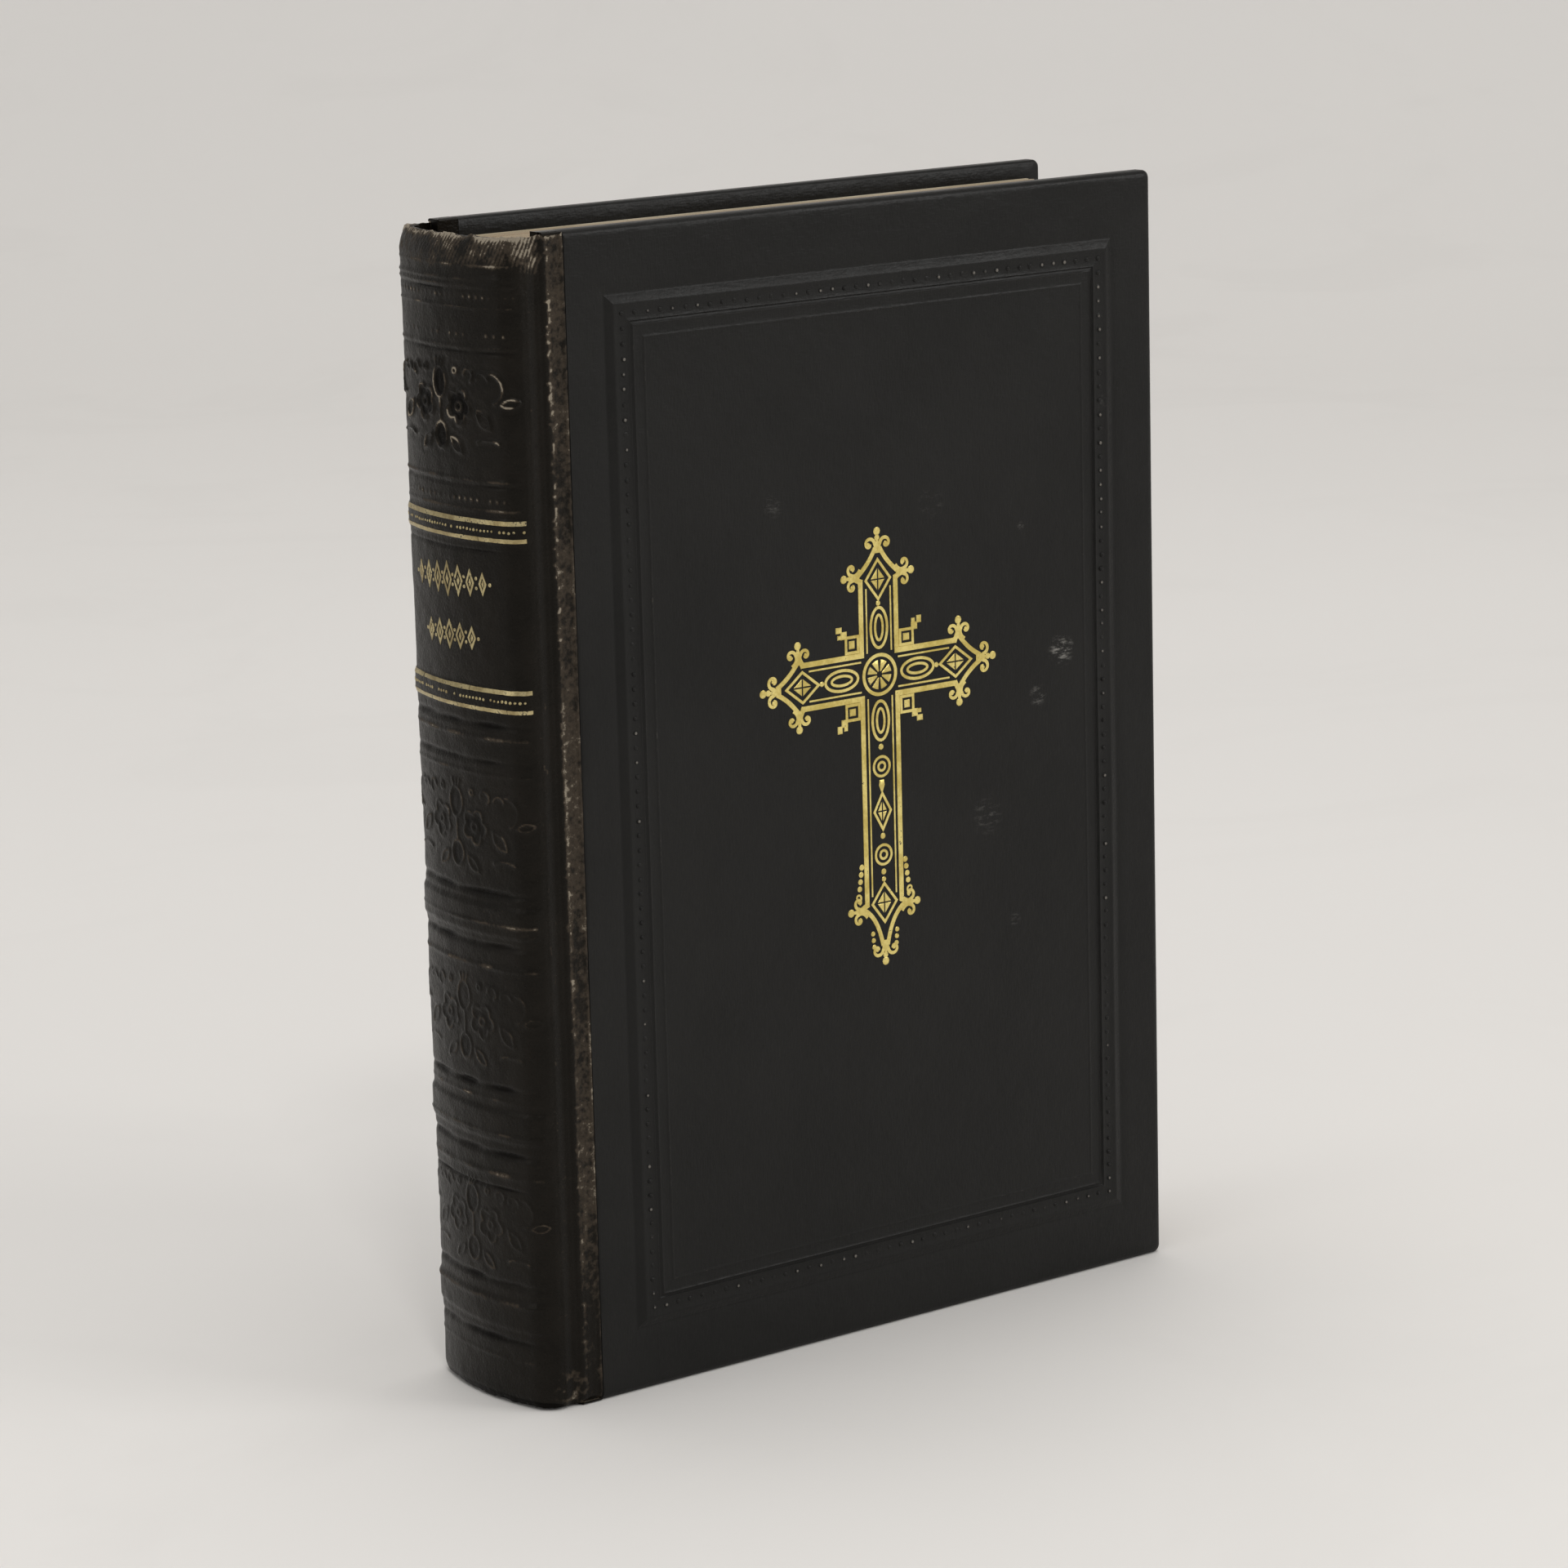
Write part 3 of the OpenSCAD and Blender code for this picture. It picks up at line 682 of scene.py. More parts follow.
def fleuron(foil, u, v, turn, size=1.0):
    """Stem, two curls and a bead, pointing along `turn` from (u, v)."""
    u0, v0, base = kept = foil.move
    c, s = math.cos(base), math.sin(base)
    foil.at(u0 + c * u - s * v, v0 + s * u + c * v, base + turn)
    foil.stroke([(0, -0.5), (0, 1.7 * size)], [1.3, 0.45])
    for side in (-1, 1):
        flank = [(1.0, -0.6), (0.35, -0.2), (0.2, 0.3), (0.38 * size, 0.8 * size)]
        foil.curve(*[(side * x, y) for x, y in flank], 0.5, 8)
        start = math.pi / 2 + side * math.pi / 2
        foil.volute(1.2 * side * size, 0.75 * size, start, 0.82 * size, -side, 0.95, 0.56)
        foil.dot(1.3 * side * size, 0.72 * size, 0.3 * size)
    foil.dot(0, 2.1 * size, 0.58 * size)
    foil.at(*kept)


def facets(foil, u, v, a, b):
    """Diamond of four facets with dark lines between them."""
    gap = 0.09
    for su in (-1, 1):
        for sv in (-1, 1):
            u0, v0 = u + su * gap, v + sv * gap
            foil.plate([(u0, v0), (u + su * a, v0), (u0, v + sv * b)], 0.05)


def arm(foil, neck, slim=0.0):
    """One arm of the cross along +v: its outlines, ogee end and last diamond; `slim` draws the end out."""
    end = neck + 5.3 + slim
    for side in (-1, 1):
        foil.stroke([(side * 2.86, 2.5), (side * 2.86, neck + 0.2)], 0.84)
        foil.stroke([(side * 1.98, 3.0), (side * 1.98, neck - 0.9)], 0.28)
        foil.stroke([(side * 2.6, neck), (side * 3.9, neck + 0.6)], [0.86, 0.74])
        ogee = [(3.7, neck + 0.5), (2.7 - 0.45 * slim, neck + 1.4)]
        ogee += [(1.4 - 0.25 * slim, neck + 2.3 + 0.4 * slim), (0.38, end - 1.0)]
        foil.curve(*[(side * u, v) for u, v in ogee], 0.72)
        fleuron(foil, side * 3.5, neck + 0.75, -side * math.pi / 2, 0.95)
        stem = [(0.2, end - 1.6), (0.25, end - 1.1), (0.3, end - 0.8), (0.46, end - 0.4)]
        foil.curve(*[(side * u, v) for u, v in stem], 0.5, 8)
        foil.volute(side * 1.32, end - 0.5, math.pi / 2 + side * math.pi / 2, 0.9, -side, 1.0, 0.58)
        foil.dot(side * 1.4, end - 0.55, 0.32)
    foil.stroke([(0, end - 1.7), (0, end)], [1.0, 0.4])
    foil.dot(0, end + 0.3, 0.42)
    foil.dot(0, end + 1.15, 0.56)
    foil.diamond(0, neck + 0.15, 2.0, 2.6, 0.42)
    facets(foil, 0, neck + 0.15, 1.12, 1.42)
    foil.dot(0, neck - 3.0, 0.36)


# plates of a corner square and its finial
CORNER_BLOCKS = [
    (3.95, 3.95, 5.0, 4.9), (5.3, 5.2, 6.35, 6.2), (6.2, 6.0, 7.0, 7.0), (5.35, 6.1, 5.95, 6.75),
]


def cover_cross():
    """The gilt cross blocked on the front cover."""
    cx, cz = FORE_X - 47.5, 88.4

    def lay(u, v, h):
        level = HALF + PANEL_RISE + 0.16 * noise(u, v, 22, 11) + 0.05 * noise(u, v, 5, 12)
        return np.column_stack([u, -(level + h), v])

    foil = Foil(lay)

    def eyelet(v):
        foil.oval(0, v, 1.3, 1.3, 0.42)
        foil.oval(0, v, 0.55, 0.55, 0.4)

    for quarter in range(4):
        foil.at(cx, cz, quarter * math.pi / 2)
        if quarter == 2:
            arm(foil, 30.3, 1.6)
            foil.oval(0, 6.1, 1.34, 2.6, 0.46)
            foil.oval(0, 6.1, 0.62, 1.6, 0.42)
            foil.dot(0, 9.6, 0.42)
            eyelet(12.2)
            foil.plate([(0, 16.0), (0.5, 14.7), (0.36, 14.0), (-0.36, 14.0), (-0.5, 14.7)])
            foil.diamond(0, 18.2, 1.35, 2.4, 0.42)
            facets(foil, 0, 18.2, 0.72, 1.3)
            foil.dot(0, 21.5, 0.42)
            eyelet(24.0)
            foil.dot(0, 26.3, 0.42)
            for side in (-1, 1):
                for i in range(4):
                    foil.dot(side * (3.6 + 0.14 * i), 25.2 + 0.95 * i, 0.42)
                foil.volute(side * 4.3, 29.2, math.pi / 2, 0.55, side, 1.1, 0.4)
                for i in range(3):
                    foil.dot(side * (2.0 - 0.08 * i), 34.4 + 0.9 * i, 0.36)
        else:
            arm(foil, 12.4)
            foil.oval(0, 6.2, 1.34, 2.65, 0.46)
            foil.oval(0, 6.2, 0.62, 1.65, 0.42)
        # corner square with its finial, in the corner right of this arm
        foil.stroke(rectangle(3.45, 3.45, 5.5, 5.4), 0.46, closed=True)
        for block in CORNER_BLOCKS:
            foil.plate(rectangle(*block))
    foil.at(cx, cz)
    foil.oval(0, 0, 2.6, 2.6, 0.55, 44)
    # the boss: eight wedges with dark rays between them
    for i in range(8):
        middle = (i + 0.5) * math.pi / 4
        corners = [(1.95, t) for t in np.linspace(-0.28, 0.28, 5)] + [(0.45, 0.2), (0.45, -0.2)]
        foil.plate([(r * math.cos(middle + t), r * math.sin(middle + t)) for r, t in corners], 0.05)
    ob = foil.make("gilt_cross_foil", GOLD, sharp=30)
    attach(ob, "front_cover")
    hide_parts("gilt_cross")


cover_cross()

# ---------- spine leather

# raised bands: height above the tail, width, rise
BANDS = [
    (12.2, 4.6, 0.20), (37.1, 4.6, 0.26), (63.8, 4.6, 0.26), (92.2, 3.4, 0.22), (113.5, 3.4, 0.22),
    (143.7, 2.8, 0.06),
]
# tooled lines: height above the tail, half width, rise
LINES = [
    (146.1, 0.15, 0.08), (144.5, 0.16, 0.15), (143.7, 0.16, 0.12), (143.1, 0.2, -0.16),
    (141.0, 0.14, 0.09), (136.1, 0.14, 0.11), (135.5, 0.2, -0.14), (119.6, 0.16, 0.13),
    (119.0, 0.22, -0.16), (116.0, 0.2, 0.06), (110.9, 0.2, -0.14), (88.9, 0.40, -0.36),
    (87.2, 0.3, 0.12), (84.2, 0.34, -0.30), (82.6, 0.22, 0.13), (67.3, 0.40, -0.38),
    (63.4, 0.2, 0.15), (60.6, 0.42, -0.36), (57.7, 0.34, 0.17), (42.0, 0.40, -0.36),
    (40.4, 0.26, 0.12), (36.0, 0.2, 0.11), (33.4, 0.40, -0.38), (30.6, 0.4, 0.17),
    (28.8, 0.2, -0.18), (16.2, 0.40, -0.40), (13.6, 0.35, 0.12), (8.6, 0.40, -0.40),
    (6.2, 0.26, 0.12),
]
# rows of small dots: height above the tail, spacing, rise
DOTS = [(142.3, 1.1, 0.11), (137.6, 1.3, 0.08), (117.2, 1.1, 0.12)]
# flower panels: height of the middle above the tail, strength
PANELS = [(128.7, 1.0), (75.6, 0.55), (50.4, 0.48), (23.6, 0.44)]


def flower_paths():
    """Outlines of the tooled flowers about a panel's middle, for one half; the other mirrors it."""

    def lobed(u, v, a, b, lobes=0, depth=0.0, start=0.0):
        t = np.linspace(0, 2 * math.pi, 50)
        r = 1 - depth * (1 - np.abs(np.cos(lobes * (t - start) / 2)))
        return np.column_stack([u + a * r * np.cos(t), v + b * r * np.sin(t)])

    def arc(u, v, r, a, b, squash=1.0):
        t = np.radians(np.linspace(a, b, 16))
        return np.column_stack([u + r * np.cos(t), v + squash * r * np.sin(t)])

    def leaf(u, v, long, wide, turn):
        t = np.linspace(0, 1, 12)
        edge = wide * np.sin(math.pi * t) ** 0.9
        c, s = math.cos(math.radians(turn)), math.sin(math.radians(turn))
        along, beside = long * t, (-edge, edge)
        return [np.column_stack([u + c * along - s * off, v + s * along + c * off]) for off in beside]

    paths = [lobed(0, 2.7, 1.35, 1.95), lobed(0, -3.9, 1.25, 1.6), np.array([(0, 0.7), (0, -2.2)])]
    paths += [np.array([(k * 0.5, 4.8), (k * 0.8, 5.5)]) for k in (0, 1)]
    paths += [lobed(3.7, -0.1, 2.35, 2.3, 5, 0.34, 1.1), lobed(3.7, -0.1, 0.55, 0.55)]
    paths += [lobed(3.3, 4.3, 0.36, 0.36)]
    for shape in ((7.1, -0.3, 3.2, 0.75, -46), (11.0, 0.5, 2.5, 0.5, 8), (2.1, -4.0, 2.8, 0.6, -40)):
        paths += leaf(*shape)
    paths += [arc(9.4, 2.4, 1.9, -70, 95), arc(8.2, 3.3, 0.95, 20, 160)]
    paths += [arc(8.8, -5.0, 2.3, 40, 140, 0.45), arc(5.8, 3.9, 0.8, -60, 170)]
    return paths


def stroke_distance(u, v, paths):
    """Distance from each point (u, v) to the nearest path."""
    best = np.full(u.shape, 9.0)
    for path in paths:
        for (ax, ay), (bx, by) in zip(path[:-1], path[1:]):
            dx, dy = bx - ax, by - ay
            t = np.clip(((u - ax) * dx + (v - ay) * dy) / (dx * dx + dy * dy + 1e-9), 0, 1)
            best = np.minimum(best, np.hypot(u - ax - t * dx, v - ay - t * dy))
    return best


# sunk insides of the buds and the flower, painted dark as shade: centre and half sizes
PETALS = [(0, 2.7, 1.35, 1.95), (0, -3.9, 1.25, 1.6), (3.7, -0.1, 2.1, 2.05)]
# the leather's profile over the joint: distance past the hinge line, height
JOINT = [
    (-4.4, 0.0), (-3.6, -0.03), (-2.6, -0.14), (-1.3, -0.38), (-0.55, -0.24), (-0.05, 0.03), (0.25, 0.07),
    (0.8, 0.0), (1.6, -0.07), (2.4, -0.05), (2.75, 0.06), (3.0, 0.04), (3.3, 0.0),
]


def skin(s, z):
    """Height of the spine leather over the plain round, and how worn it is, with painted highlights on raised
    tooling and painted shade in grooves, sunk petals and along the tail.
    """
    a = np.abs(s)
    beyond = a - REACH
    tooled = 1 - smooth(a, REACH - 4.6, REACH - 3.2)
    fine = 1 - smooth(a, REACH - 4.5, REACH - 3.9)
    wander = 0.5 * noise(s, z, 7, 3)
    h = ease(beyond, JOINT) + 0.10 * noise(s, z, 6, 1) + 0.05 * noise(s, z, 1.6, 2)
    wear_and_painted_light = 0.22 * noise(s, z, 9, 4) + 0.12 * noise(s, z, 2, 5)
    for centre, width, rise in BANDS:
        up = ridge(z, centre, width - 0.7, 0.9)
        h += rise * up * tooled
        wear_and_painted_light += 0.14 * up * tooled
    for centre, width, rise in LINES:
        strength = np.clip(0.75 + 1.1 * noise(s, centre, 3.5, 6), 0.15, 1.2)
        if rise < 0:
            strength *= (1 - 0.75 * smooth(a, REACH - 9.0, REACH - 4.2))
        h += rise * line(z + 0.3 * wander * (rise < 0), centre, width) * fine * strength
        broken = np.clip(0.55 + 2.2 * noise(s, centre, 2.4, 17), 0, 1.3)
        # raised lines: real rub and painted highlights (pale glints); grooves: painted shade, below zero
        wear_and_painted_light += (0.95 * broken if rise > 0 else -0.5) * line(z, centre, width) * fine * strength
    for centre, pitch, rise in DOTS:
        cell = (s + pitch / 2) % pitch - pitch / 2
        kept = np.clip(0.6 + 2 * noise(s, centre, 1.5, 7), 0, 1)
        spot = np.exp(-((cell / 0.24) ** 2) - (((z - centre) / 0.26) ** 2)) * fine * kept
        h += rise * spot
        # the dots get real rub and a painted highlight (pale glint)
        wear_and_painted_light += 1.3 * spot
    for centre, power in PANELS:
        near = np.abs(z - centre) < 7.2
        if not near.any():
            continue
        d = stroke_distance(a[near], z[near] - centre, FLOWERS)
        side = 1 - smooth(a[near], REACH - 4.0, REACH - 3.4)
        kept = np.clip(0.62 + 2.7 * noise(s[near], z[near], 1.5, 8), 0.05, 1.4)
        emboss = np.exp(-((d / 0.16) ** 2)) * side
        petal = np.zeros(d.shape)
        for u, v, wide, tall in PETALS:
            reach = np.hypot((a[near] - u) / wide, (z[near] - centre - v) / tall)
            petal = np.maximum(petal, (1 - smooth(reach, 0.75, 0.95)) * side)
        beside = smooth(d, 0.15, 0.5) * (1 - smooth(d, 0.7, 1.3)) * side
        h[near] += power * (0.2 * emboss - 0.05 * beside - 0.09 * petal)
        # painted highlights along the flower outlines; painted shade on the sunk petals
        wear_and_painted_light[near] += power * (1.35 * emboss * kept - 0.55 * petal * (1 - emboss))
    middle = 1 - smooth(a, REACH - 6.5, REACH - 3.0)
    top, tail = np.clip((z - 147.0) / 2.6, 0, 1), np.clip((1.8 - z) / 1.4, 0, 1)
    h -= (0.15 + 0.85 * middle) * top**1.7 + 0.35 * tail**2
    # the head cap is rubbed through in stripes, the tail cap at its corners
    stripes = 0.5 + 0.5 * np.sin((s + z * 0.55 + 1.2 * noise(s, z, 3.5, 23)) * 2 * math.pi / 0.62)
    stripes *= np.clip(0.75 + 1.8 * noise(s, z, 0.9, 19), 0, 1.2)
    cap = smooth(z, 144.4 + 2 * noise(s, 0, 2.2, 24), 147.6)
    cap *= np.clip(0.95 + 1.3 * noise(s, z, 2.6, 9), 0.4, 1.4)
    h += 0.06 * cap * (stripes - 0.5)
    on_spine = 1 - smooth(beyond, -1.5, 0.5)
    wear_and_painted_light += cap * (0.55 + 0.75 * stripes) * (0.65 + 0.35 * smooth(a, 2, 9)) * on_spine
    wear_and_painted_light += 0.55 * smooth(z, 148.9, 149.5)
    tail_rub = np.clip(0.55 + 2.4 * noise(s, z, 0.6, 18), 0, 1.2)
    wear_and_painted_light += 1.1 * (1 - smooth(z, 1.5, 8.5)) * line(beyond, -1.9, 1.9) * tail_rub
    # painted shadow: the lowest rows of the spine are darkened where the book meets the floor
    wear_and_painted_light -= 1.1 * (1 - smooth(z, 0.55, 1.5)) * (1 - smooth(beyond, -3.5, -2.5))
    # the joint: rubbed brown over the lap, most at the board's edge and along the cloth
    long_streak = noise(s * 3.2, z, 2.4, 10)
    high = smooth(z, 70, 140)
    edge_line = line(beyond, 0.45, 0.4) * np.clip(0.45 + 1.5 * noise(s, z, 5, 13), 0, 1.1)
    specks = np.clip(noise(s, z, 0.5, 14) * 3.2 - 0.3, 0, 1.2) * line(beyond, 0.4, 0.6) * (0.6 + 0.5 * high)
    more_specks = np.clip(noise(s, z, 0.5, 20) * 3.4 - 0.85, 0, 1) * line(beyond, -2.2, 1.1)
    specks += more_specks * (1 - tooled * 0.5)
    cloth_line = line(beyond, 2.85, 0.25) * np.clip(0.2 + 1.9 * noise(s, z, 6, 15), 0, 0.9)
    # the rub fades towards the tail
    kept_low = 0.34 * (1 - smooth(z, 8, 34))
    lap = 0.56 - kept_low + 0.04 * high + 0.2 * long_streak
    lap += 0.25 * noise(s, z, 15, 12) + 0.4 * noise(s, z, 0.6, 16)
    wear_and_painted_light += 0.45 * edge_line + 0.8 * specks + 0.5 * cloth_line + lap * smooth(beyond, 0.0, 0.6)
    return h, wear_and_painted_light


FLOWERS = flower_paths()


def skin_piece(name, s_values, rows, inner_level):
    """Closed piece of leather over a stretch of the section."""
    s, z = np.meshgrid(s_values, rows, indexing="ij")
    h, wear_and_painted_light = skin(s, z)
    x, y = around(s, h)
    ragged = 0.45 * noise(s, 0, 1.3, 21) + 0.3 * noise(s, 0, 0.4, 22)
    lifted = z + ragged * smooth(z, 148.3, SKIN_HEAD) - 0.4 * ragged * (1 - smooth(z, SKIN_TAIL, 1.2))
    outer = np.stack([x, y, lifted], -1)
    levels, heights = inner_level(s_values)
    si, zi = np.meshgrid(s_values, heights, indexing="ij")
    xi, yi = around(si, levels)
    inner = np.stack([xi, yi, zi], -1)
    verts, faces = shell(outer, inner)
    wear_and_painted_light = np.concatenate([wear_and_painted_light.ravel(), np.zeros(si.size)])
    return make(name, verts, faces, LEATHER, {"wear_and_painted_light": wear_and_painted_light}, sharp=60)


def spine_inner(s_values):
    """Inside of the spine leather, with room for the bands and thick caps at both ends."""
    cap, under_band = -1.9, -0.28
    rows = [(SKIN_TAIL, cap), (1.5, cap), (1.56, SKIN_INSIDE)]
    for centre, width, _ in BANDS:
        lo, hi = centre - width / 2 + 0.45, centre + width / 2 - 0.45
        rows += [(lo - 0.02, SKIN_INSIDE), (lo, under_band), (hi, under_band), (hi + 0.02, SKIN_INSIDE)]
    rows += [(148.42, SKIN_INSIDE), (148.48, cap), (149.5, cap)]
    heights, level = np.array(rows).T
    levels = np.tile(level, (len(s_values), 1))
    past_bands = np.abs(s_values)[:, None] > REACH - 4.27
    return np.where(past_bands & (levels > -0.5), SKIN_INSIDE, levels), heights


def joint_inner(s_values):
    """Inside of the joint strip, which is thinner over the board."""
    level = np.where(np.abs(s_values) < REACH + 0.02, SKIN_INSIDE, -0.34)
    return np.tile(level[:, None], (1, 2)), np.array([SKIN_TAIL, 149.5])


def spine_leather():
    rows = np.linspace(SKIN_TAIL, SKIN_HEAD, 780)
    ob = skin_piece("spine_skin", np.linspace(-SKIN_END, SKIN_END, 176), rows, spine_inner)
    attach(ob, "spine")
    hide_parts("spine_leather")


def joint_strip(side, name):
    across = side * np.linspace(SKIN_END, REACH + 3.0, 44)
    rows = np.linspace(SKIN_TAIL, SKIN_HEAD, 960)
    strip = skin_piece(f"{name}_joint_leather", across, rows, joint_inner)
    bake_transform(strip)
    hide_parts(f"{name}_leather_lap")


def lap_turn_in(side, name):
    """The lap's turn-ins over the board's head and tail edges and over its spine-side edge."""
    wear_and_painted_light, turn_in = 0.05, 12.0
    parts = Parts()
    # section (y, z) at the head; the tail's is its mirror
    section = np.array([
        (HALF - 0.1, 149.58), (HALF - 0.1, 149.85), (HALF - 0.35, 150.0), (HALF - 1.2, 150.02),
        (INNER + 0.25, 150.0), (INNER + 0.02, 149.8), (INNER, 149.0), (INNER, 138.2),
        (INNER + TURNED_T, 138.0), (INNER + TURNED_T, 149.64), (INNER + 2.1, 149.66), (HALF - 0.36, 149.66),
    ])
    for up in (True, False):
        rings = []
        for x in np.linspace(HINGE_X + 0.05, SHEET_X - 0.04, 9):
            bulge = 0.04 * noise(section[:, 1] * 3, section[:, 0] + x, 2.0, 41)
            z = section[:, 1] + bulge * (section[:, 1] > 149.7)
            z = z if up else HEIGHT - z
            rings.append(np.column_stack([np.full(len(section), x), side * section[:, 0], z]))
        parts.add(*loft(rings), attr=wear_and_painted_light)
        lo, hi = (HEIGHT - turn_in, HEIGHT) if up else (0.0, turn_in)
        wall = np.array(rectangle(INNER, lo, HALF - 0.9, hi)) * (side, 1)
        ends = (HINGE_X - 0.1, HINGE_X + 0.1)
        parts.add(*loft([np.column_stack([np.full(4, x), wall]) for x in ends]), attr=wear_and_painted_light)
    piece = parts.make(f"{name}_lap_turn_in", LEATHER)
    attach(piece, f"{name}_cover")


spine_leather()
for side, name in ((-1, "front"), (1, "back")):
    joint_strip(side, name)
    lap_turn_in(side, name)

# ---------- spine gilding


def spine_gilding():
    def lay(u, v, h):
        level, _ = skin(u, v)
        x, y = around(u, level + h * 0.8)
        return np.column_stack([x, y, v])

    foil = Foil(lay)
    edge = REACH - 3.7
    rng = np.random.default_rng(5)
    for z in (114.6, 112.4, 93.4, 90.95):
        # each line is worn through in places
        at = -edge
        while at < edge:
            run = rng.uniform(3.0, 11.0)
            stop = min(at + run, edge)
            if stop - at > 0.4:
                count = max(3, int((stop - at) / 0.3))
                path = np.column_stack([np.linspace(at, stop, count), np.full(count, z)])
                foil.stroke(path + rng.normal(0, 0.012, path.shape), 0.62 + rng.uniform(-0.07, 0.07))
            at = stop + rng.uniform(0.0, 0.16)
    for z in (113.5, 92.2):
        for s in np.arange(-edge + 0.3, edge, 0.62):
            if rng.random() > 0.25:
                foil.dot(s, z + rng.normal(0, 0.03), rng.uniform(0.15, 0.22))
    # two rows of plain lozenges and beads where a title would stand
    for z, count, tall in ((106.7, 3, 1.9), (99.7, 2, 1.6)):
        foil.at(0, z)
        for k in range(-count, count + 1):
            size = 1 - 0.13 * abs(k)
            foil.diamond(2.3 * k, 0, 0.85 * size, tall * size, 0.36)
            foil.diamond(2.3 * k, 0, 0.32 * size, 0.42 * tall * size)
            for up in (-1, 1):
                if k < count:
                    foil.dot(2.3 * k + 1.15, 0.62 * up, 0.24)
        for side in (-1, 1):
            foil.dot(side * (2.3 * count + 1.2), 0, 0.26)
    ob = foil.make("spine_gilt_tooling", GOLD_WORN, sharp=30)
    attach(ob, "spine")
    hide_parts("spine_gilding")


spine_gilding()

# ---------- leaves

LEAF_COUNT = 14
# length in front of their fold over which leaves and flyleaves get extra columns
LEAF_BEND, FLY_BEND = 6.5, 5.0


def add_sheet(parts, xs, y, thick, z0, z1):
    """Thin upright leaf as a closed solid along xs; its edges take the second material."""
    verts, faces = loft([[(x, a, b) for a, b in rectangle(y - thick / 2, z0, y + thick / 2, z1)] for x in xs])
    mats = [1 if f[0] % 4 in (0, 2) else 0 for f in faces[:-2]]
    parts.add(verts, faces, mat=mats + [1, 1])


def leaf_columns(pivot, behind, fore, run):
    bend = pivot + np.linspace(0, run, 11)
    return np.concatenate([[pivot - behind, pivot - behind / 2], bend, np.linspace(pivot + run, fore, 6)[1:]])


def bound_sheets(node, name, mats, run, count, share, rng, loose):
    """Upright sheets of one node, with extra columns over `run` next to the spine."""
    lo, hi = node_box(node)
    thick = hi[1] - lo[1]
    pitch = thick / count
    pivot, mid = lo[0] + thick / 2, (lo[1] + hi[1]) / 2
    parts = Parts()
    for i in range(count):
        fore = hi[0] - 0.2 * abs(i - (count - 1) / 2) / count + rng.normal(0, loose)
        bottom, top = lo[2] + abs(rng.normal(0, loose)), hi[2] - abs(rng.normal(0, loose))
        columns = leaf_columns(pivot, thick / 2, fore, run)
        add_sheet(parts, columns, lo[1] + (i + 0.5) * pitch, pitch * share, bottom, top)
    ob = parts.make(name, mats, sharp=30)
    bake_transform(ob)
    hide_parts(node)
    return ob


def leaves():
    rng = np.random.default_rng(77)
    for k in range(1, 13):
        node, mats = f"gathering_{k:02d}", [PAGE, PAGE_EDGE]
        ob = bound_sheets(
            node, f"leaves_of_{node}", mats, LEAF_BEND, LEAF_COUNT, 0.86, rng, 0.05,
        )
    for name in ("front", "back"):
        node, mats = f"{name}_flyleaf", [ENDPAPER, ENDPAPER]
        ob = bound_sheets(node, f"{node}_sheet", mats, FLY_BEND, 1, 0.8, rng, 0.0)


leaves()

# ---------- carried-over nodes

for names, mat in (
    (("front_board", "back_board", "spine_inlay", "spine_bands"), CARD),
    (("front_pastedown", "back_pastedown", "endpaper_folds"), ENDPAPER),
    (("sewn_folds",), PAGE_EDGE),
    (("sewing_tapes", "spine_lining"), LINEN),
    (("headband_head", "headband_tail"), SILK),
):
    for name in names:
        mesh = NODES[name].data
        mesh.materials.clear()
        mesh.materials.append(mat)

# ---------- stage, light, camera


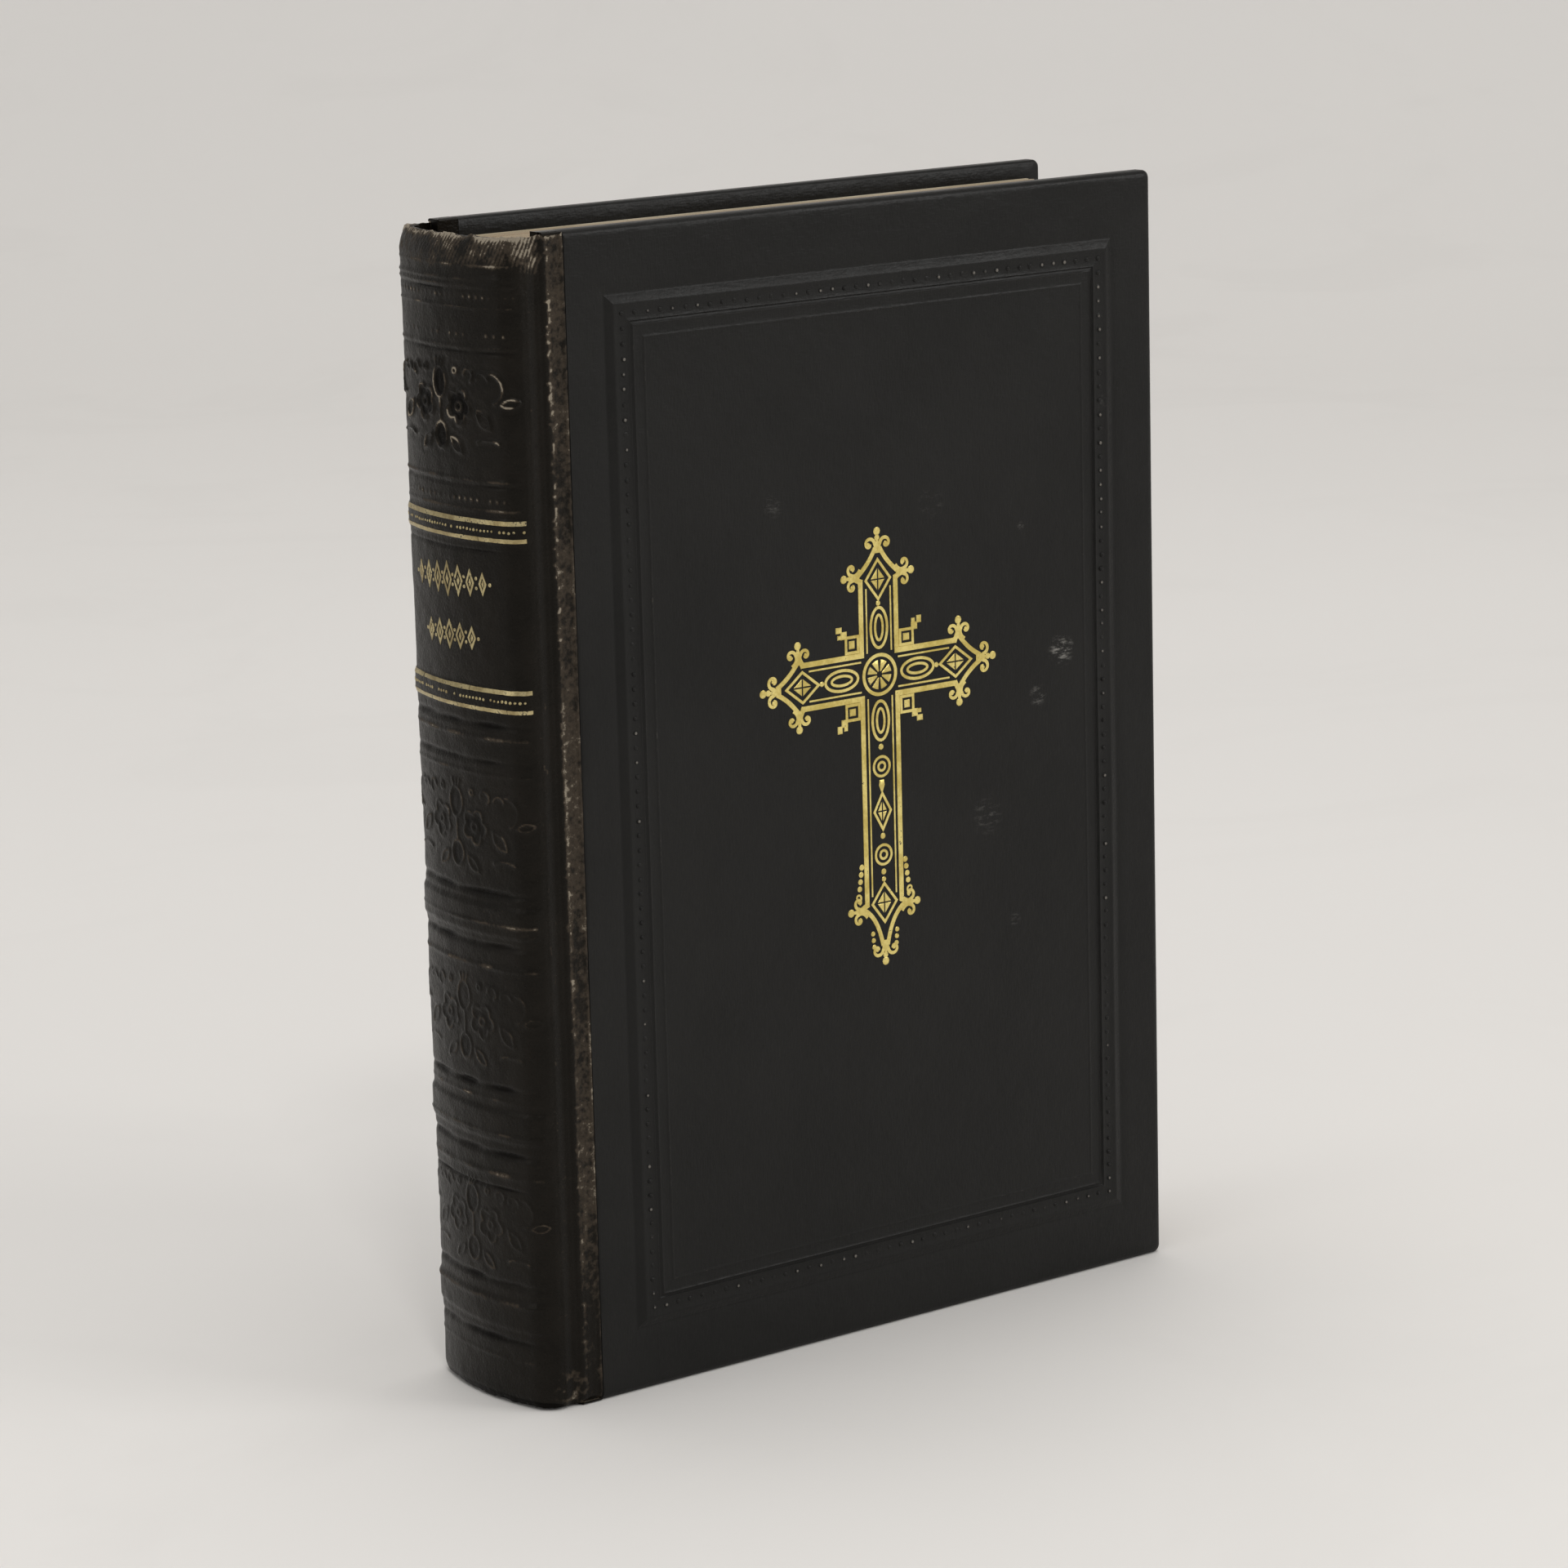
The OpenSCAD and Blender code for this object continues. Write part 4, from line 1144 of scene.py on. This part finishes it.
def studio():
    """Floor that sweeps up into a backdrop."""
    profile = [(-1600, 0)] + [(x, 0) for x in np.linspace(-1200, 900, 14)]
    profile += [(900 + 700 * math.sin(a), 700 - 700 * math.cos(a)) for a in np.linspace(0.1, math.pi / 2, 14)]
    profile += [(1600, 1400), (1600, 2600)]
    across = np.linspace(-2600, 2600, 20)
    view = math.radians(-36.4)
    back = np.array([math.sin(view), -math.cos(view)])
    right = np.array([math.cos(view), math.sin(view)])
    verts = [(*(right * u - back * d), z - 0.02) for u in across for d, z in profile]
    n = len(profile)
    corners = [i * n + j for i in range(len(across) - 1) for j in range(n - 1)]
    faces = [[c, c + n, c + n + 1, c + 1] for c in corners]
    ob = make("studio_floor", verts, faces, floor_material(), sharp=80)


def area_light(name, place, target, size, power, colour):
    data = bpy.data.lights.new(name, "AREA")
    data.shape, data.size, data.energy, data.color = "SQUARE", size, power, colour
    ob = bpy.data.objects.new(name, data)
    ob.location = place
    ob.rotation_euler = (Vector(target) - Vector(place)).to_track_quat("-Z", "Y").to_euler()
    SCENE.collection.objects.link(ob)


def camera():
    az, el, roll = (math.radians(v) for v in (-36.485, 12.405, -1.513))
    distance, target = 0.66718, Vector((-0.000958, 0, 0.072655))
    back = Vector((math.sin(az) * math.cos(el), -math.cos(az) * math.cos(el), math.sin(el)))
    flat = Vector((math.cos(az), math.sin(az), 0))
    upward = back.cross(flat)
    right = math.cos(roll) * flat + math.sin(roll) * upward
    up = -math.sin(roll) * flat + math.cos(roll) * upward
    data = bpy.data.cameras.new("photo_camera")
    data.sensor_width, data.lens = 36, 116.25
    data.clip_start, data.clip_end = 0.05, 20
    ob = bpy.data.objects.new("photo_camera", data)
    pose = Matrix((right, up, back)).transposed().to_4x4()
    pose.translation = target + back * distance
    ob.matrix_world = pose
    SCENE.collection.objects.link(ob)
    SCENE.camera = ob


studio()
area_light("overhead", (0.05, 0.1, 1.7), (0, 0, 0.05), 1.3, 13.4, (1.0, 0.99, 0.975))
area_light("glint", (-0.45, -0.85, 1.15), (0, 0, 0.08), 0.16, 2.8, (1.0, 0.99, 0.97))
area_light("right_front", (0.95, -1.2, 0.72), (0, 0, 0.08), 0.6, 6.5, (1.0, 0.99, 0.975))
area_light("left_back", (-1.3, 0.2, 0.55), (0, 0, 0.08), 0.6, 1.6, (1.0, 0.995, 0.985))
camera()
world = bpy.data.worlds.new("soft_room")
world.use_nodes = True
world.node_tree.nodes["Background"].inputs["Color"].default_value = (1.0, 0.988, 0.972, 1)
world.node_tree.nodes["Background"].inputs["Strength"].default_value = 0.465
SCENE.world = world
SCENE.view_settings.view_transform = "Standard"
SCENE.view_settings.look = "None"
